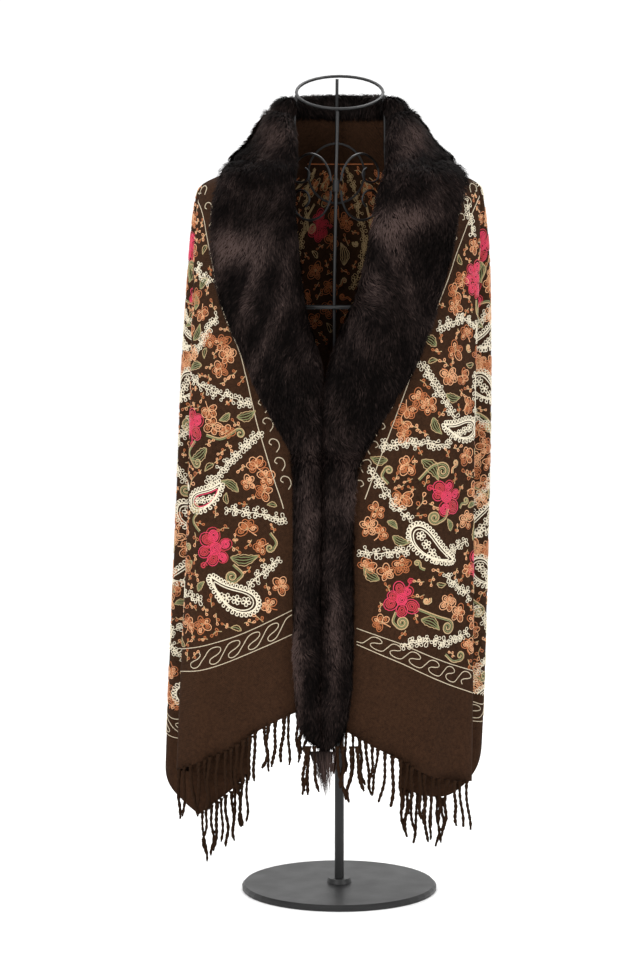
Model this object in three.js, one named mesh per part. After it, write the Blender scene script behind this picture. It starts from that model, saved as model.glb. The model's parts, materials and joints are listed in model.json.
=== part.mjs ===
// A fringed wool shawl with a fur collar, worn as a poncho over a limbless wire dress form.
// Millimetres, +Z up, the front faces -Y, and the underside of the base is at z = 0.
import * as THREE from "three";
import { mergeVertices } from "three/addons/utils/BufferGeometryUtils.js";

// ---------------------------------------------------------------- driving dimensions
const WALL = 2; // thickness of the cloth
const SEAM = 0.3; // gap between two stretches of one cloth, and between a seam's two pieces
const FRINGE_LENGTH = 68;
const FUR_LIFT = 3; // underside of the fur, out from the middle of the cloth
const FUR_SEAM = 2; // half the gap left between the lapels and the back of the collar
const FUR_OVERHANG = 3.8; // reach of the fur past the front edge of the cloth
const CLOTH_TOP = 990; // height of the sewn neck edge
const COLLAR_HEM = 915; // lower edge of the fur behind the neck
const COLLAR_RISE = 12; // how much higher the collar stands behind the neck
const LAPEL_END = 566; // the wide lapels narrow to the bands here
const BAND_END = 186;

const WIRE = 2; // radius of the main wires
const THIN_WIRE = 1.5; // radius of the scrolls
const WELD = 0.4; // clearance left where two wires touch
const RING_HEIGHT = 1016; // centre of the neck ring
const RING_RADIUS = 54.5;
const RING_TILT = THREE.MathUtils.degToRad(26);
const BINDING_HEIGHT = 897; // where the four front scrolls meet
const BINDING_WALL = 1.5;
const HUB_HEIGHT = 430; // height of the bottom ring and of the hub that it is carried by
const HUB_RADIUS = 16;
const HUB_DEPTH = 12;
const POLE_RADIUS = 6;
const BASE_RADIUS = 125;
const BASE_THICKNESS = 8;

// Each hoop of the form: its height, half its width and half its depth.
const hoops = [
  { name: "chest_ring", height: 747, halfWidth: 138, halfDepth: 81 },
  { name: "waist_ring", height: 600, halfWidth: 108, halfDepth: 72 },
  { name: "bottom_ring", height: HUB_HEIGHT, halfWidth: 98, halfDepth: 74 },
];
const [chest, waist, bottom] = hoops;

// The draped outline, a row for each height: half-widths to the side of the garment and to the fold of
// its front layer, half-depths in front and behind, how far forward the fold lies, how deep the front
// layer is folded under, and how deep the flutes are at the side and back.
const outline = {
  left: [
    { height: 1015, side: 68, fold: 66, front: 52, back: 68, forward: 8, pleat: 0, flute: 0 },
    { height: 985, side: 68, fold: 66, front: 54, back: 68, forward: 9, pleat: 0, flute: 0 },
    { height: 968, side: 83, fold: 81, front: 57, back: 72, forward: 10, pleat: 0, flute: 0 },
    { height: 940, side: 110, fold: 108, front: 64, back: 80, forward: 12, pleat: 0, flute: 0 },
    { height: 915, side: 142, fold: 139, front: 72, back: 88, forward: 14, pleat: 0, flute: 0 },
    { height: 899, side: 176, fold: 171, front: 80, back: 94, forward: 18, pleat: 0, flute: 0 },
    { height: 874, side: 183, fold: 177, front: 92, back: 100, forward: 28, pleat: 4, flute: 1 },
    { height: 808, side: 190, fold: 181, front: 103, back: 107, forward: 44, pleat: 18, flute: 8 },
    { height: 639, side: 201, fold: 185, front: 107, back: 114, forward: 58, pleat: 46, flute: 24 },
    { height: 444, side: 209, fold: 190, front: 107, back: 118, forward: 64, pleat: 66, flute: 38 },
    { height: 241, side: 219, fold: 201, front: 105, back: 120, forward: 68, pleat: 82, flute: 44 },
    { height: 100, side: 224, fold: 206, front: 103, back: 120, forward: 70, pleat: 92, flute: 46 },
  ],
  right: [
    { height: 1015, side: 68, fold: 66, front: 52, back: 68, forward: 8, pleat: 0, flute: 0 },
    { height: 985, side: 68, fold: 66, front: 54, back: 68, forward: 9, pleat: 0, flute: 0 },
    { height: 968, side: 83, fold: 81, front: 57, back: 72, forward: 10, pleat: 0, flute: 0 },
    { height: 940, side: 112, fold: 110, front: 64, back: 80, forward: 12, pleat: 0, flute: 0 },
    { height: 915, side: 146, fold: 143, front: 72, back: 88, forward: 14, pleat: 0, flute: 0 },
    { height: 899, side: 178, fold: 172, front: 80, back: 94, forward: 18, pleat: 0, flute: 0 },
    { height: 874, side: 182, fold: 174, front: 92, back: 100, forward: 28, pleat: 4, flute: 1 },
    { height: 808, side: 189, fold: 173, front: 103, back: 107, forward: 44, pleat: 18, flute: 10 },
    { height: 639, side: 191, fold: 167, front: 107, back: 114, forward: 58, pleat: 46, flute: 26 },
    { height: 444, side: 188, fold: 166, front: 107, back: 118, forward: 64, pleat: 66, flute: 38 },
    { height: 241, side: 184, fold: 166, front: 105, back: 120, forward: 68, pleat: 82, flute: 42 },
    { height: 100, side: 176, fold: 164, front: 103, back: 120, forward: 70, pleat: 90, flute: 42 },
  ],
};

// The front edge of the cloth, outward from the middle, and the outer edge of the fur lying on it.
const frontEdge = {
  left: [
    { height: 1015, edge: 61 },
    { height: 985, edge: 60 },
    { height: 947, edge: 59 },
    { height: 896, edge: 60 },
    { height: 820, edge: 54 },
    { height: 769, edge: 50 },
    { height: 731, edge: 43 },
    { height: 705, edge: 34 },
    { height: 680, edge: 24 },
    { height: 668, edge: 22 },
    { height: 640, edge: 24 },
    { height: 560, edge: 26 },
    { height: 186, edge: 29.5 },
  ],
  right: [
    { height: 1015, edge: 61 },
    { height: 985, edge: 60 },
    { height: 960, edge: 62 },
    { height: 926, edge: 62 },
    { height: 886, edge: 50 },
    { height: 834, edge: 41 },
    { height: 799, edge: 33 },
    { height: 749, edge: 19 },
    { height: 712, edge: 0 },
    { height: 680, edge: -11 },
    { height: 668, edge: -13.4 },
    { height: 640, edge: -16 },
    { height: 560, edge: -18 },
    { height: 186, edge: -21.5 },
  ],
};
const furReach = {
  left: [
    { height: 915, reach: 144 },
    { height: 899, reach: 153 },
    { height: 850, reach: 156 },
    { height: 807, reach: 153 },
    { height: 756, reach: 141 },
    { height: 705, reach: 123 },
    { height: 655, reach: 101 },
    { height: 616, reach: 86 },
    { height: 566, reach: 63 },
    { height: 274, reach: 62 },
    { height: 229, reach: 56 },
    { height: 196, reach: 48 },
    { height: 186, reach: 42 },
  ],
  right: [
    { height: 915, reach: 150 },
    { height: 899, reach: 155 },
    { height: 870, reach: 147 },
    { height: 832, reach: 141 },
    { height: 776, reach: 129 },
    { height: 732, reach: 113 },
    { height: 682, reach: 92 },
    { height: 635, reach: 64 },
    { height: 584, reach: 41 },
    { height: 540, reach: 22 },
    { height: 324, reach: 22 },
    { height: 223, reach: 14 },
    { height: 196, reach: 4 },
    { height: 186, reach: -4 },
  ],
};

// How far the fur stands off the middle of the cloth: its inner face, which curls over the neck edge,
// and its outer face where the pile is deepest.
const furDepth = [
  { height: 1011, inner: -2, outer: 10 },
  { height: 1003, inner: -6, outer: 21 },
  { height: 992, inner: -5, outer: 27 },
  { height: 990.8, inner: FUR_LIFT, outer: 28 },
  { height: 942, inner: FUR_LIFT, outer: 30 },
  { height: 918, inner: FUR_LIFT + 5, outer: 30 },
  { height: 907, inner: FUR_LIFT + 5, outer: 30 },
  { height: 890, inner: FUR_LIFT, outer: 30 },
  { height: 640, inner: FUR_LIFT, outer: 30 },
  { height: LAPEL_END, inner: FUR_LIFT, outer: 26 },
  { height: 240, inner: FUR_LIFT, outer: 24 },
  { height: BAND_END, inner: FUR_LIFT, outer: 12 },
];

// A horizontal section of the draped cloth, edge to centre back. Each stop has its place along the
// section and the height of the hem there.
const stops = { fold: 5, underFold: 6, innerFold: 7.5, corner: 9, side: 11, backCorner: 15, centre: 18 };
const hem = {
  left: [255, 244, 225, 200, 183, 167, 164, 158, 155, 103, 138, 172, 235, 310, 385, 450, 490, 508, 514],
  right: [240, 217, 197, 176, 156, 153, 150, 140, 137, 121, 158, 200, 262, 325, 395, 455, 492, 509, 514],
};

// ---------------------------------------------------------------- materials
function material(name, color, roughness, metalness = 0) {
  return new THREE.MeshStandardMaterial({ name, color, roughness, metalness });
}
const cloth = material("shawl_cloth", 0x3e2a1d, 0.95);
const fur = material("fur", 0x2c2224, 0.85);
const yarn = material("fringe_yarn", 0x38251a, 0.95);
const iron = material("black_iron", 0x17181a, 0.5, 0.6);

// ---------------------------------------------------------------- small helpers
const garment = new THREE.Group();
const form = new THREE.Group();

function add(group, name, geometry, finish) {
  const mesh = new THREE.Mesh(geometry, finish);
  mesh.name = name;
  group.add(mesh);
  return mesh;
}

function outward(side) {
  return side === "left" ? -1 : 1;
}

// Reads one column of a table at any height: a smooth curve that never leaves the range of its rows.
function lookUp(rows, column, height) {
  if (height >= rows[0].height) return rows[0][column];
  if (height <= rows.at(-1).height) return rows.at(-1)[column];
  const i = rows.findIndex((row, k) => k > 0 && height >= row.height) - 1;
  const slope = (k) =>
    (rows[k + 1][column] - rows[k][column]) / (rows[k + 1].height - rows[k].height);
  const tangent = (k) => {
    if (k === 0 || k === rows.length - 1) return slope(Math.min(k, rows.length - 2));
    const [a, b] = [slope(k - 1), slope(k)];
    return a * b > 0 ? (2 * a * b) / (a + b) : 0;
  };
  const span = rows[i + 1].height - rows[i].height;
  const t = (height - rows[i].height) / span;
  const square = t * t;
  const cube = square * t;
  return (
    rows[i][column] * (2 * cube - 3 * square + 1) +
    tangent(i) * span * (cube - 2 * square + t) +
    rows[i + 1][column] * (3 * square - 2 * cube) +
    tangent(i + 1) * span * (cube - square)
  );
}

// A closed solid between two grids of points that face each other.
function slab(outer, inner) {
  const rows = outer.length;
  const columns = outer[0].length;
  const points = [...outer.flat(), ...inner.flat()];
  const at = (face, row, column) => face * rows * columns + row * columns + column;
  const index = [];
  const quad = (a, b, c, d) => index.push(a, b, c, a, c, d);
  for (let r = 0; r + 1 < rows; r++) {
    for (let c = 0; c + 1 < columns; c++) {
      quad(at(0, r, c), at(0, r + 1, c), at(0, r + 1, c + 1), at(0, r, c + 1));
      quad(at(1, r, c), at(1, r, c + 1), at(1, r + 1, c + 1), at(1, r + 1, c));
    }
    quad(at(0, r, 0), at(1, r, 0), at(1, r + 1, 0), at(0, r + 1, 0));
    const last = columns - 1;
    quad(at(0, r, last), at(0, r + 1, last), at(1, r + 1, last), at(1, r, last));
  }
  for (let c = 0; c + 1 < columns; c++) {
    const last = rows - 1;
    quad(at(0, 0, c), at(0, 0, c + 1), at(1, 0, c + 1), at(1, 0, c));
    quad(at(0, last, c), at(1, last, c), at(1, last, c + 1), at(0, last, c + 1));
  }
  return closed(points, index);
}

// A geometry from shared points, turned to face outwards.
function closed(points, index) {
  let volume = 0;
  for (let i = 0; i < index.length; i += 3) {
    const [a, b, c] = [points[index[i]], points[index[i + 1]], points[index[i + 2]]];
    volume += a.dot(b.clone().cross(c));
  }
  const geometry = new THREE.BufferGeometry().setFromPoints(points);
  geometry.setIndex(volume > 0 ? index : [...index].reverse());
  geometry.computeVertexNormals();
  return geometry;
}

function circle(radius, sides) {
  const turn = (i) => (2 * Math.PI * i) / sides;
  const corners = Array.from({ length: sides }, (_, i) =>
    new THREE.Vector2(radius * Math.cos(turn(i)), radius * Math.sin(turn(i))));
  return new THREE.Shape(corners);
}

// A round wire along a smooth curve through a few points.
function wire(points, radius, steps, sides = 8) {
  const path = new THREE.CatmullRomCurve3(points.map((p) => new THREE.Vector3(...p)));
  path.curveType = "centripetal";
  const geometry = new THREE.ExtrudeGeometry(circle(radius, sides), { steps, extrudePath: path });
  geometry.deleteAttribute("normal");
  geometry.deleteAttribute("uv");
  return mergeVertices(geometry, 1e-3);
}

// A closed elliptical ring of round wire in the XY plane.
function hoop(halfWidth, halfDepth, radius, steps = 32, sides = 8) {
  const points = [];
  for (let i = 0; i < steps; i++) {
    const turn = (2 * Math.PI * i) / steps;
    const centre = new THREE.Vector3(halfWidth * Math.cos(turn), halfDepth * Math.sin(turn), 0);
    const away = new THREE.Vector3(halfDepth * Math.cos(turn), halfWidth * Math.sin(turn), 0);
    away.normalize();
    for (let j = 0; j < sides; j++) {
      const roll = (2 * Math.PI * j) / sides;
      const point = centre.clone().addScaledVector(away, radius * Math.cos(roll));
      point.z += radius * Math.sin(roll);
      points.push(point);
    }
  }
  const index = [];
  for (let i = 0; i < steps; i++) {
    for (let j = 0; j < sides; j++) {
      const [a, b] = [i * sides + j, i * sides + ((j + 1) % sides)];
      const next = ((i + 1) % steps) * sides;
      const [c, d] = [next + ((j + 1) % sides), next + j];
      index.push(a, b, c, a, c, d);
    }
  }
  return closed(points, index);
}

// ---------------------------------------------------------------- the draped surface
// The plan of the cloth at one height, from the front edge out to the fold, under, out to the side and
// round to the centre back.
const sections = new Map();
function section(side, height) {
  const key = side + height.toFixed(4);
  if (sections.has(key)) return sections.get(key);
  const at = (column) => lookUp(outline[side], column, height);
  const [reach, fold, front, back] = [at("side"), at("fold"), at("front"), at("back")];
  const [forward, pleat, flute] = [at("forward"), at("pleat"), at("flute")];
  const edge = lookUp(frontEdge[side], "edge", height);
  const layer = forward / 5; // depth taken up by each layer of the side pleat
  const plan = [];
  for (let k = 0; k < stops.fold; k++) {
    const x = edge + ((fold - edge) * k) / stops.fold;
    const round = (1 - (Math.abs(x) / fold) ** 2.2) ** 0.6;
    plan.push([x, -forward - (front - forward) * round]);
  }
  plan.push([fold, -forward]);
  plan.push([fold - pleat * 0.02, -forward + layer]);
  plan.push([fold - pleat, -forward + 1.4 * layer]);
  plan.push([fold - pleat, -forward + 2.4 * layer]);
  plan.push([fold - 0.3 * pleat, -forward + 3 * layer]);
  plan.push([reach - 2 - 0.03 * pleat, -forward + 3.7 * layer]);
  plan.push([reach, 0]);
  const flutes = [
    { turn: 13, inward: 1 },
    { turn: 27, inward: 0.05 },
    { turn: 41, inward: 0.8 },
    { turn: 54, inward: 0 },
    { turn: 66, inward: 0.16 },
    { turn: 78, inward: 0 },
    { turn: 90, inward: 0.06 },
    { turn: 102, inward: 0 },
  ];
  for (const { turn, inward } of flutes) {
    const angle = THREE.MathUtils.degToRad(turn);
    const power = 2 / 2.3;
    const x = reach * Math.sign(Math.cos(angle)) * Math.abs(Math.cos(angle)) ** power;
    const y = back * Math.sin(angle) ** power;
    const pull = 1 - (inward * flute) / Math.hypot(x, y);
    plan.push([x * pull, y * pull]);
  }
  const points = plan.map(([x, y]) => new THREE.Vector3(outward(side) * x, y, height));
  const curve = new THREE.CatmullRomCurve3(points, false, "centripetal");
  sections.set(key, curve);
  return curve;
}

// A point of the middle of the cloth; before the front edge it runs straight on.
function panelPoint(side, along, height) {
  const curve = section(side, height);
  const spans = curve.points.length - 1;
  if (along >= 0) return curve.getPoint(along / spans);
  const start = curve.getPoint(0);
  const next = curve.getPoint(0.05 / spans);
  return start.clone().addScaledVector(next.sub(start), along / 0.05);
}

function panelNormal(side, along, height) {
  const step = 0.02;
  const drop = 2;
  const across = panelPoint(side, along + step, height).sub(panelPoint(side, along - step, height));
  const down = panelPoint(side, along, height - drop).sub(panelPoint(side, along, height + drop));
  return across.cross(down).multiplyScalar(-outward(side)).normalize();
}

function offPanel(side, along, height, distance) {
  const point = panelPoint(side, along, height);
  return point.addScaledVector(panelNormal(side, along, height), distance);
}

// The place that lies a distance further along the section.
function slide(side, along, height, distance) {
  const step = 0.02;
  const behind = panelPoint(side, along - step, height);
  const speed = panelPoint(side, along + step, height).distanceTo(behind) / (2 * step);
  return along + distance / speed;
}

function hemHeight(side, along) {
  const rows = hem[side];
  const i = Math.min(Math.max(Math.floor(along), 0), rows.length - 2);
  const t = Math.min(Math.max(along - i, 0), 1);
  return rows[i] + (rows[i + 1] - rows[i]) * t;
}

// Evenly spread values, and the places of the columns between two stops of a section.
function spread(from, to, count) {
  return Array.from({ length: count + 1 }, (_, i) => from + ((to - from) * i) / count);
}

// ---------------------------------------------------------------- cloth
// Every column has these heights over the shoulder, and evenly spread ones from there to its hem.
const shoulderHeights = [CLOTH_TOP, 974, 958, 942, 928, COLLAR_HEM, 907, 900, 890, 874, 850, 820];
const ROWS_BELOW = 7;

function columnHeights(side, along) {
  const low = hemHeight(side, along);
  return [...shoulderHeights, ...spread(shoulderHeights.at(-1), low, ROWS_BELOW).slice(1)];
}

// columns: { side, along, shift }, where shift moves a cut edge back from its neighbour.
function stretch(columns) {
  const rows = [...Array(shoulderHeights.length + ROWS_BELOW).keys()];
  const face = (distance) =>
    rows.map((row) =>
      columns.map(({ side, along, shift = 0 }) => {
        const height = columnHeights(side, along)[row];
        const place = shift ? slide(side, along, height, shift) : along;
        return offPanel(side, place, height, distance);
      }));
  return slab(face(WALL / 2), face(-WALL / 2));
}

function addCloth() {
  for (const side of ["left", "right"]) {
    const front = [...spread(0, stops.fold, 8), 5.5, stops.underFold, 6.5, 7].map((along) => ({
      side,
      along,
    }));
    front.push({ side, along: stops.innerFold, shift: -SEAM / 2 });
    add(garment, `shawl_front_${side}`, stretch(front), cloth);
    const around = [8, 8.5, stops.corner, 9.5, 10, 10.5].map((along) => ({ side, along }));
    around.unshift({ side, along: stops.innerFold, shift: SEAM / 2 });
    around.push({ side, along: stops.side, shift: -SEAM / 2 });
    add(garment, `shawl_side_${side}`, stretch(around), cloth);
    const flank = spread(stops.side, 14.5, 7).map((along) => ({ side, along }));
    flank[0].shift = SEAM / 2;
    flank.push({ side, along: stops.backCorner, shift: -SEAM / 2 });
    add(garment, `shawl_flank_${side}`, stretch(flank), cloth);
  }
  const half = (side) => [
    { side, along: stops.backCorner, shift: SEAM / 2 },
    ...spread(15.5, 17.5, 4).map((along) => ({ side, along })),
  ];
  const back = [...half("left"), { side: "left", along: stops.centre }, ...half("right").reverse()];
  add(garment, "shawl_back", stretch(back), cloth);
}

// ---------------------------------------------------------------- fur
// A piece of fur is made from the points of the cloth, moved out. lanes: { side, along(height), depth,
// rise }, where depth goes from 0 at a thin border to 1 where the pile is deepest, and rise is how much
// higher the roll over the neck edge stands.
function furPiece(heights, lanes) {
  const roll = (height) => Math.max(0, (height - CLOTH_TOP - 2) / (heights[0] - CLOTH_TOP - 2));
  const face = (offset) =>
    heights.map((height) =>
      lanes.map(({ side, along, depth, rise = 0 }) => {
        const point = offPanel(side, along(height), height, offset(height, depth));
        return point.setZ(point.z + rise * roll(height));
      }));
  const inner = (height) => lookUp(furDepth, "inner", height);
  const outer = (height, depth) => {
    const thin = inner(height) + 4;
    return thin + (lookUp(furDepth, "outer", height) - thin) * depth;
  };
  return slab(face(outer), face(inner));
}

// Lanes from beyond the front edge to the outer edge of the fur, thin at both borders.
function lapelLanes(side, count) {
  return spread(0, Math.PI / 2, count).map(Math.sin).map((t) => ({
    side,
    depth: Math.sin(Math.PI * (0.08 + 0.84 * t)) ** 0.55,
    along: (height) => {
      const start = slide(side, 0, height, -FUR_OVERHANG);
      const ridge = slide(side, stops.side, height, -FUR_SEAM);
      const edge = lookUp(frontEdge[side], "edge", height);
      const fold = lookUp(outline[side], "fold", height);
      const reach = lookUp(furReach[side], "reach", height);
      const onFront = (stops.fold * (reach - edge)) / (fold - edge);
      const end = height >= COLLAR_HEM ? ridge : Math.min(onFront, 4.9);
      return start + (end - start) * t;
    },
  }));
}

function addFur() {
  const collarHeights = [1011, 1006, 1000, 992, 990.8, ...shoulderHeights.slice(1, 6)];
  for (const side of ["left", "right"]) {
    const lapelHeights = [
      ...collarHeights,
      ...shoulderHeights.slice(6),
      ...spread(790, LAPEL_END + SEAM / 2, 7),
    ];
    add(garment, `fur_collar_${side}`, furPiece(lapelHeights, lapelLanes(side, 11)), fur);
    const bandHeights = [...spread(LAPEL_END - SEAM / 2, 240, 7), 215, 198, 190, BAND_END];
    add(garment, `fur_band_${side}`, furPiece(bandHeights, lapelLanes(side, 5)), fur);
  }
  const behind = (side) => [
    { side, depth: 0.9, along: (height) => slide(side, stops.side, height, FUR_SEAM) },
    ...[12, 13, 14, 15, 16, 17].map((stop) => ({
      side,
      depth: 1,
      rise: COLLAR_RISE * Math.sin((Math.PI / 2) * ((stop - stops.side) / (stops.centre - stops.side))),
      along: () => stop,
    })),
  ];
  const centre = { side: "left", depth: 1, rise: COLLAR_RISE, along: () => stops.centre };
  const lanes = [...behind("left"), centre, ...behind("right").reverse()];
  add(garment, "fur_collar_back", furPiece(collarHeights, lanes), fur);
}

// ---------------------------------------------------------------- fringe
// A plain solid of the fringe's reach: the hem of some columns, moved down.
function fringe(side, places) {
  const face = (distance) =>
    [SEAM + 0.2, FRINGE_LENGTH * 0.5, FRINGE_LENGTH].map((drop) =>
      places.map((along) => {
        const low = hemHeight(side, along);
        const normal = panelNormal(side, along, low);
        return panelPoint(side, along, low).addScaledVector(normal, distance).setZ(low - drop);
      }));
  return slab(face(WALL / 2), face(-WALL / 2));
}

function addFringe() {
  for (const side of ["left", "right"]) {
    add(garment, `fringe_front_${side}`, fringe(side, spread(0, stops.fold, 8)), yarn);
    add(garment, `fringe_under_${side}`, fringe(side, [8, 8.5, stops.corner]), yarn);
  }
}

// ---------------------------------------------------------------- wire form
function addRings() {
  const ring = add(form, "neck_ring", hoop(RING_RADIUS, RING_RADIUS, WIRE), iron);
  ring.position.z = RING_HEIGHT;
  ring.rotation.x = RING_TILT;
  for (const { name, height, halfWidth, halfDepth } of hoops) {
    const mesh = add(form, name, hoop(halfWidth, halfDepth, WIRE), iron);
    mesh.position.z = height;
  }
}

// The upright wires run down inside the hoops and stop just under the neck ring.
function addUprights() {
  const inside = 2 * WIRE + WELD; // from the middle of a hoop to the middle of an upright
  const top = inside - 1; // from the middle of the neck ring down to the end of an upright
  for (const [name, face] of [["front_wire", -1], ["back_wire", 1]]) {
    const tilt = face * RING_RADIUS * Math.sin(RING_TILT);
    const points = [
      [-3, face * RING_RADIUS * Math.cos(RING_TILT), RING_HEIGHT + tilt - top],
      [-4, face * 57, 940],
      [-5, face * 61, BINDING_HEIGHT + 12],
      [-5, face * 61, BINDING_HEIGHT - 12],
      [-7, face * (chest.halfDepth - inside), chest.height],
      [-5, face * (waist.halfDepth - inside), waist.height],
      [0, face * (bottom.halfDepth - inside), bottom.height + 24],
      [0, face * (bottom.halfDepth - inside), bottom.height - 6],
    ];
    add(form, name, wire(points, WIRE, 22), iron);
  }
  for (const side of ["left", "right"]) {
    const s = outward(side);
    const points = [
      [s * RING_RADIUS, 0, RING_HEIGHT - top],
      [s * 57, 0, 985],
      [s * 58, 0, 930],
      [s * 66, 0, 870],
      [s * (chest.halfWidth - inside), 0, chest.height],
      [s * (waist.halfWidth - inside), 0, waist.height],
      [s * (bottom.halfWidth - inside), 0, bottom.height + 24],
      [s * (bottom.halfWidth - inside), 0, bottom.height - 6],
    ];
    add(form, `side_wire_${side}`, wire(points, WIRE, 26), iron);
  }
}

// The wire under each shoulder follows the ridge of the cloth just inside it, then turns down to the
// chest ring.
function addShoulders() {
  const clear = WALL / 2 + 1 + WIRE;
  for (const side of ["left", "right"]) {
    const s = outward(side);
    const ridge = [955, 940, 928, 915, 907, 901, 893, 880, 860].map((height) =>
      offPanel(side, stops.side, height, -clear).setY(0).toArray());
    const points = [
      [s * (58 + 2 * WIRE + WELD), 0, 962],
      ...ridge,
      [s * 168, 0, 810],
      [s * (chest.halfWidth + 2 * WIRE + WELD), 0, chest.height],
    ];
    add(form, `shoulder_wire_${side}`, wire(points, WIRE, 28), iron);
  }
}

// Scrollwork in the neck: four spirals that spring from a binding on the front wire, and a loop behind.
function addScrolls() {
  const centreX = -5;
  const centreY = -61;
  const bore = WIRE + 2 * WELD;
  const rim = bore + BINDING_WALL;
  const reach = rim + WELD + THIN_WIRE;
  const upper = [
    [reach, 6],
    [9, 20],
    [18, 34],
    [31, 40],
    [45, 35],
    [53, 23],
    [53, 11],
    [45, 5],
    [36, 8],
    [33, 17],
    [38, 23],
  ];
  const lower = [
    [reach, -6],
    [8, -20],
    [16, -35],
    [31, -42],
    [46, -36],
    [53, -22],
    [51, -9],
    [43, -4.5],
    [35, -9],
    [33, -18],
    [38, -25],
  ];
  for (const side of ["left", "right"]) {
    for (const [level, spiral] of [["upper", upper], ["lower", lower]]) {
      const points = spiral.map(([x, z]) => [
        centreX + outward(side) * x,
        centreY + 50 * (x / 57) ** 2,
        BINDING_HEIGHT + z,
      ]);
      add(form, `scroll_${level}_${side}`, wire(points, THIN_WIRE, 44, 6), iron);
    }
  }
  const profile = [[bore, -7], [rim, -7], [rim, 7], [bore, 7], [bore, -7]];
  const sleeve = new THREE.LatheGeometry(profile.map(([r, z]) => new THREE.Vector2(r, z)), 16);
  sleeve.rotateX(Math.PI / 2);
  sleeve.deleteAttribute("normal");
  sleeve.deleteAttribute("uv");
  const binding = add(form, "scroll_binding", mergeVertices(sleeve, 1e-3), iron);
  binding.position.set(centreX, centreY, BINDING_HEIGHT);
  const loop = add(form, "back_loop", hoop(36, 38, THIN_WIRE, 28, 6), iron);
  loop.rotation.x = Math.PI / 2 + 0.08;
  loop.position.set(-4, 55, BINDING_HEIGHT + 20);
}

// The hub carries the bottom ring on four spokes, and stands on the pole and base.
function addStand() {
  const tip = WIRE + WELD;
  const spokes = [
    { name: "spoke_left", angle: Math.PI, length: bottom.halfWidth },
    { name: "spoke_right", angle: 0, length: bottom.halfWidth },
    { name: "spoke_front", angle: -Math.PI / 2, length: bottom.halfDepth },
    { name: "spoke_back", angle: Math.PI / 2, length: bottom.halfDepth },
  ];
  for (const { name, angle, length } of spokes) {
    const from = HUB_RADIUS + SEAM;
    const to = length - tip - 2 * WIRE - WELD;
    const bar = new THREE.CylinderGeometry(WIRE, WIRE, to - from, 10).rotateZ(Math.PI / 2);
    bar.translate((from + to) / 2, 0, 0).rotateZ(angle);
    add(form, name, bar, iron).position.z = HUB_HEIGHT;
  }
  const upright = (radius, depth, sides) =>
    new THREE.CylinderGeometry(radius, radius, depth, sides).rotateX(Math.PI / 2);
  add(form, "hub", upright(HUB_RADIUS, HUB_DEPTH, 32), iron).position.z = HUB_HEIGHT;
  const poleTop = HUB_HEIGHT - HUB_DEPTH / 2 - SEAM;
  const poleFoot = BASE_THICKNESS + 6 + SEAM;
  const pole = add(form, "pole", upright(POLE_RADIUS, poleTop - poleFoot, 24), iron);
  pole.position.z = (poleTop + poleFoot) / 2;
  const plate = [
    [0, 0],
    [BASE_RADIUS - 1, 0],
    [BASE_RADIUS, 1],
    [BASE_RADIUS, BASE_THICKNESS - 3],
    [BASE_RADIUS - 3, BASE_THICKNESS],
    [16, BASE_THICKNESS],
    [14, BASE_THICKNESS + 6],
    [0, BASE_THICKNESS + 6],
  ];
  const base = new THREE.LatheGeometry(plate.map(([r, z]) => new THREE.Vector2(r, z)), 48);
  base.rotateX(Math.PI / 2);
  add(form, "base", base, iron);
}

addCloth();
addFur();
addFringe();
addRings();
addUprights();
addShoulders();
addScrolls();
addStand();

// The whole part stands over the middle of its own outline.
const part = new THREE.Group();
part.add(garment, form);
const box = new THREE.Box3().setFromObject(part, true);
const middle = box.getCenter(new THREE.Vector3());
part.position.set(-middle.x, -middle.y, 0);
part.name = "poncho_scarf_on_wire_form";

export default part;
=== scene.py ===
"""A fringed wool shawl with a fur collar, worn as a poncho over a limbless wire dress form."""

import json
import math
from collections import namedtuple

import bmesh
import bpy
import numpy as np
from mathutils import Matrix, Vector
from mathutils.bvhtree import BVHTree
from mathutils.kdtree import KDTree

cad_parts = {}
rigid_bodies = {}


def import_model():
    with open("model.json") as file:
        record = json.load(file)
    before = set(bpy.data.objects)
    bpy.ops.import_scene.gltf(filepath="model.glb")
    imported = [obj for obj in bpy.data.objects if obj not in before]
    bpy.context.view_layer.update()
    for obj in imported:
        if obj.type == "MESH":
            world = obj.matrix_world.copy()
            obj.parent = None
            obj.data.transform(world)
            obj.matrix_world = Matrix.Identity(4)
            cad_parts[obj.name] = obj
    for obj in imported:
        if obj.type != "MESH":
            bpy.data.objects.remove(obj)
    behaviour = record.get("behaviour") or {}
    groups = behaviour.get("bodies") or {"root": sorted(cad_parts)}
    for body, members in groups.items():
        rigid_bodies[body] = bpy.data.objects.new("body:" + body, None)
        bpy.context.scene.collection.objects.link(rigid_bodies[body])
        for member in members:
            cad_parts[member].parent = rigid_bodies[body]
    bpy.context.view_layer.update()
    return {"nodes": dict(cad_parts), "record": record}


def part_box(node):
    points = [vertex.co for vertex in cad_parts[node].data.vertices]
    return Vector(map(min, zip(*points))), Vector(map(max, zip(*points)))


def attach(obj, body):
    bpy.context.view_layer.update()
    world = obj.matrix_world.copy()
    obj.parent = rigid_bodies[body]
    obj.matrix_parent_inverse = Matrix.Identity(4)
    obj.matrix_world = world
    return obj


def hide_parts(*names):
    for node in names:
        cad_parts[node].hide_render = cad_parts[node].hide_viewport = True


bl_info = {
    "name": "Poncho Scarf on a Wire Dress Form",
    "version": (1, 0, 0),
    "blender": (4, 5, 0),
    "location": "View3D > Sidebar > Shawl",
    "description": "Draped shawl with fur collar, fringe and chain-stitch embroidery",
    "category": "Object",
}

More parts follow.
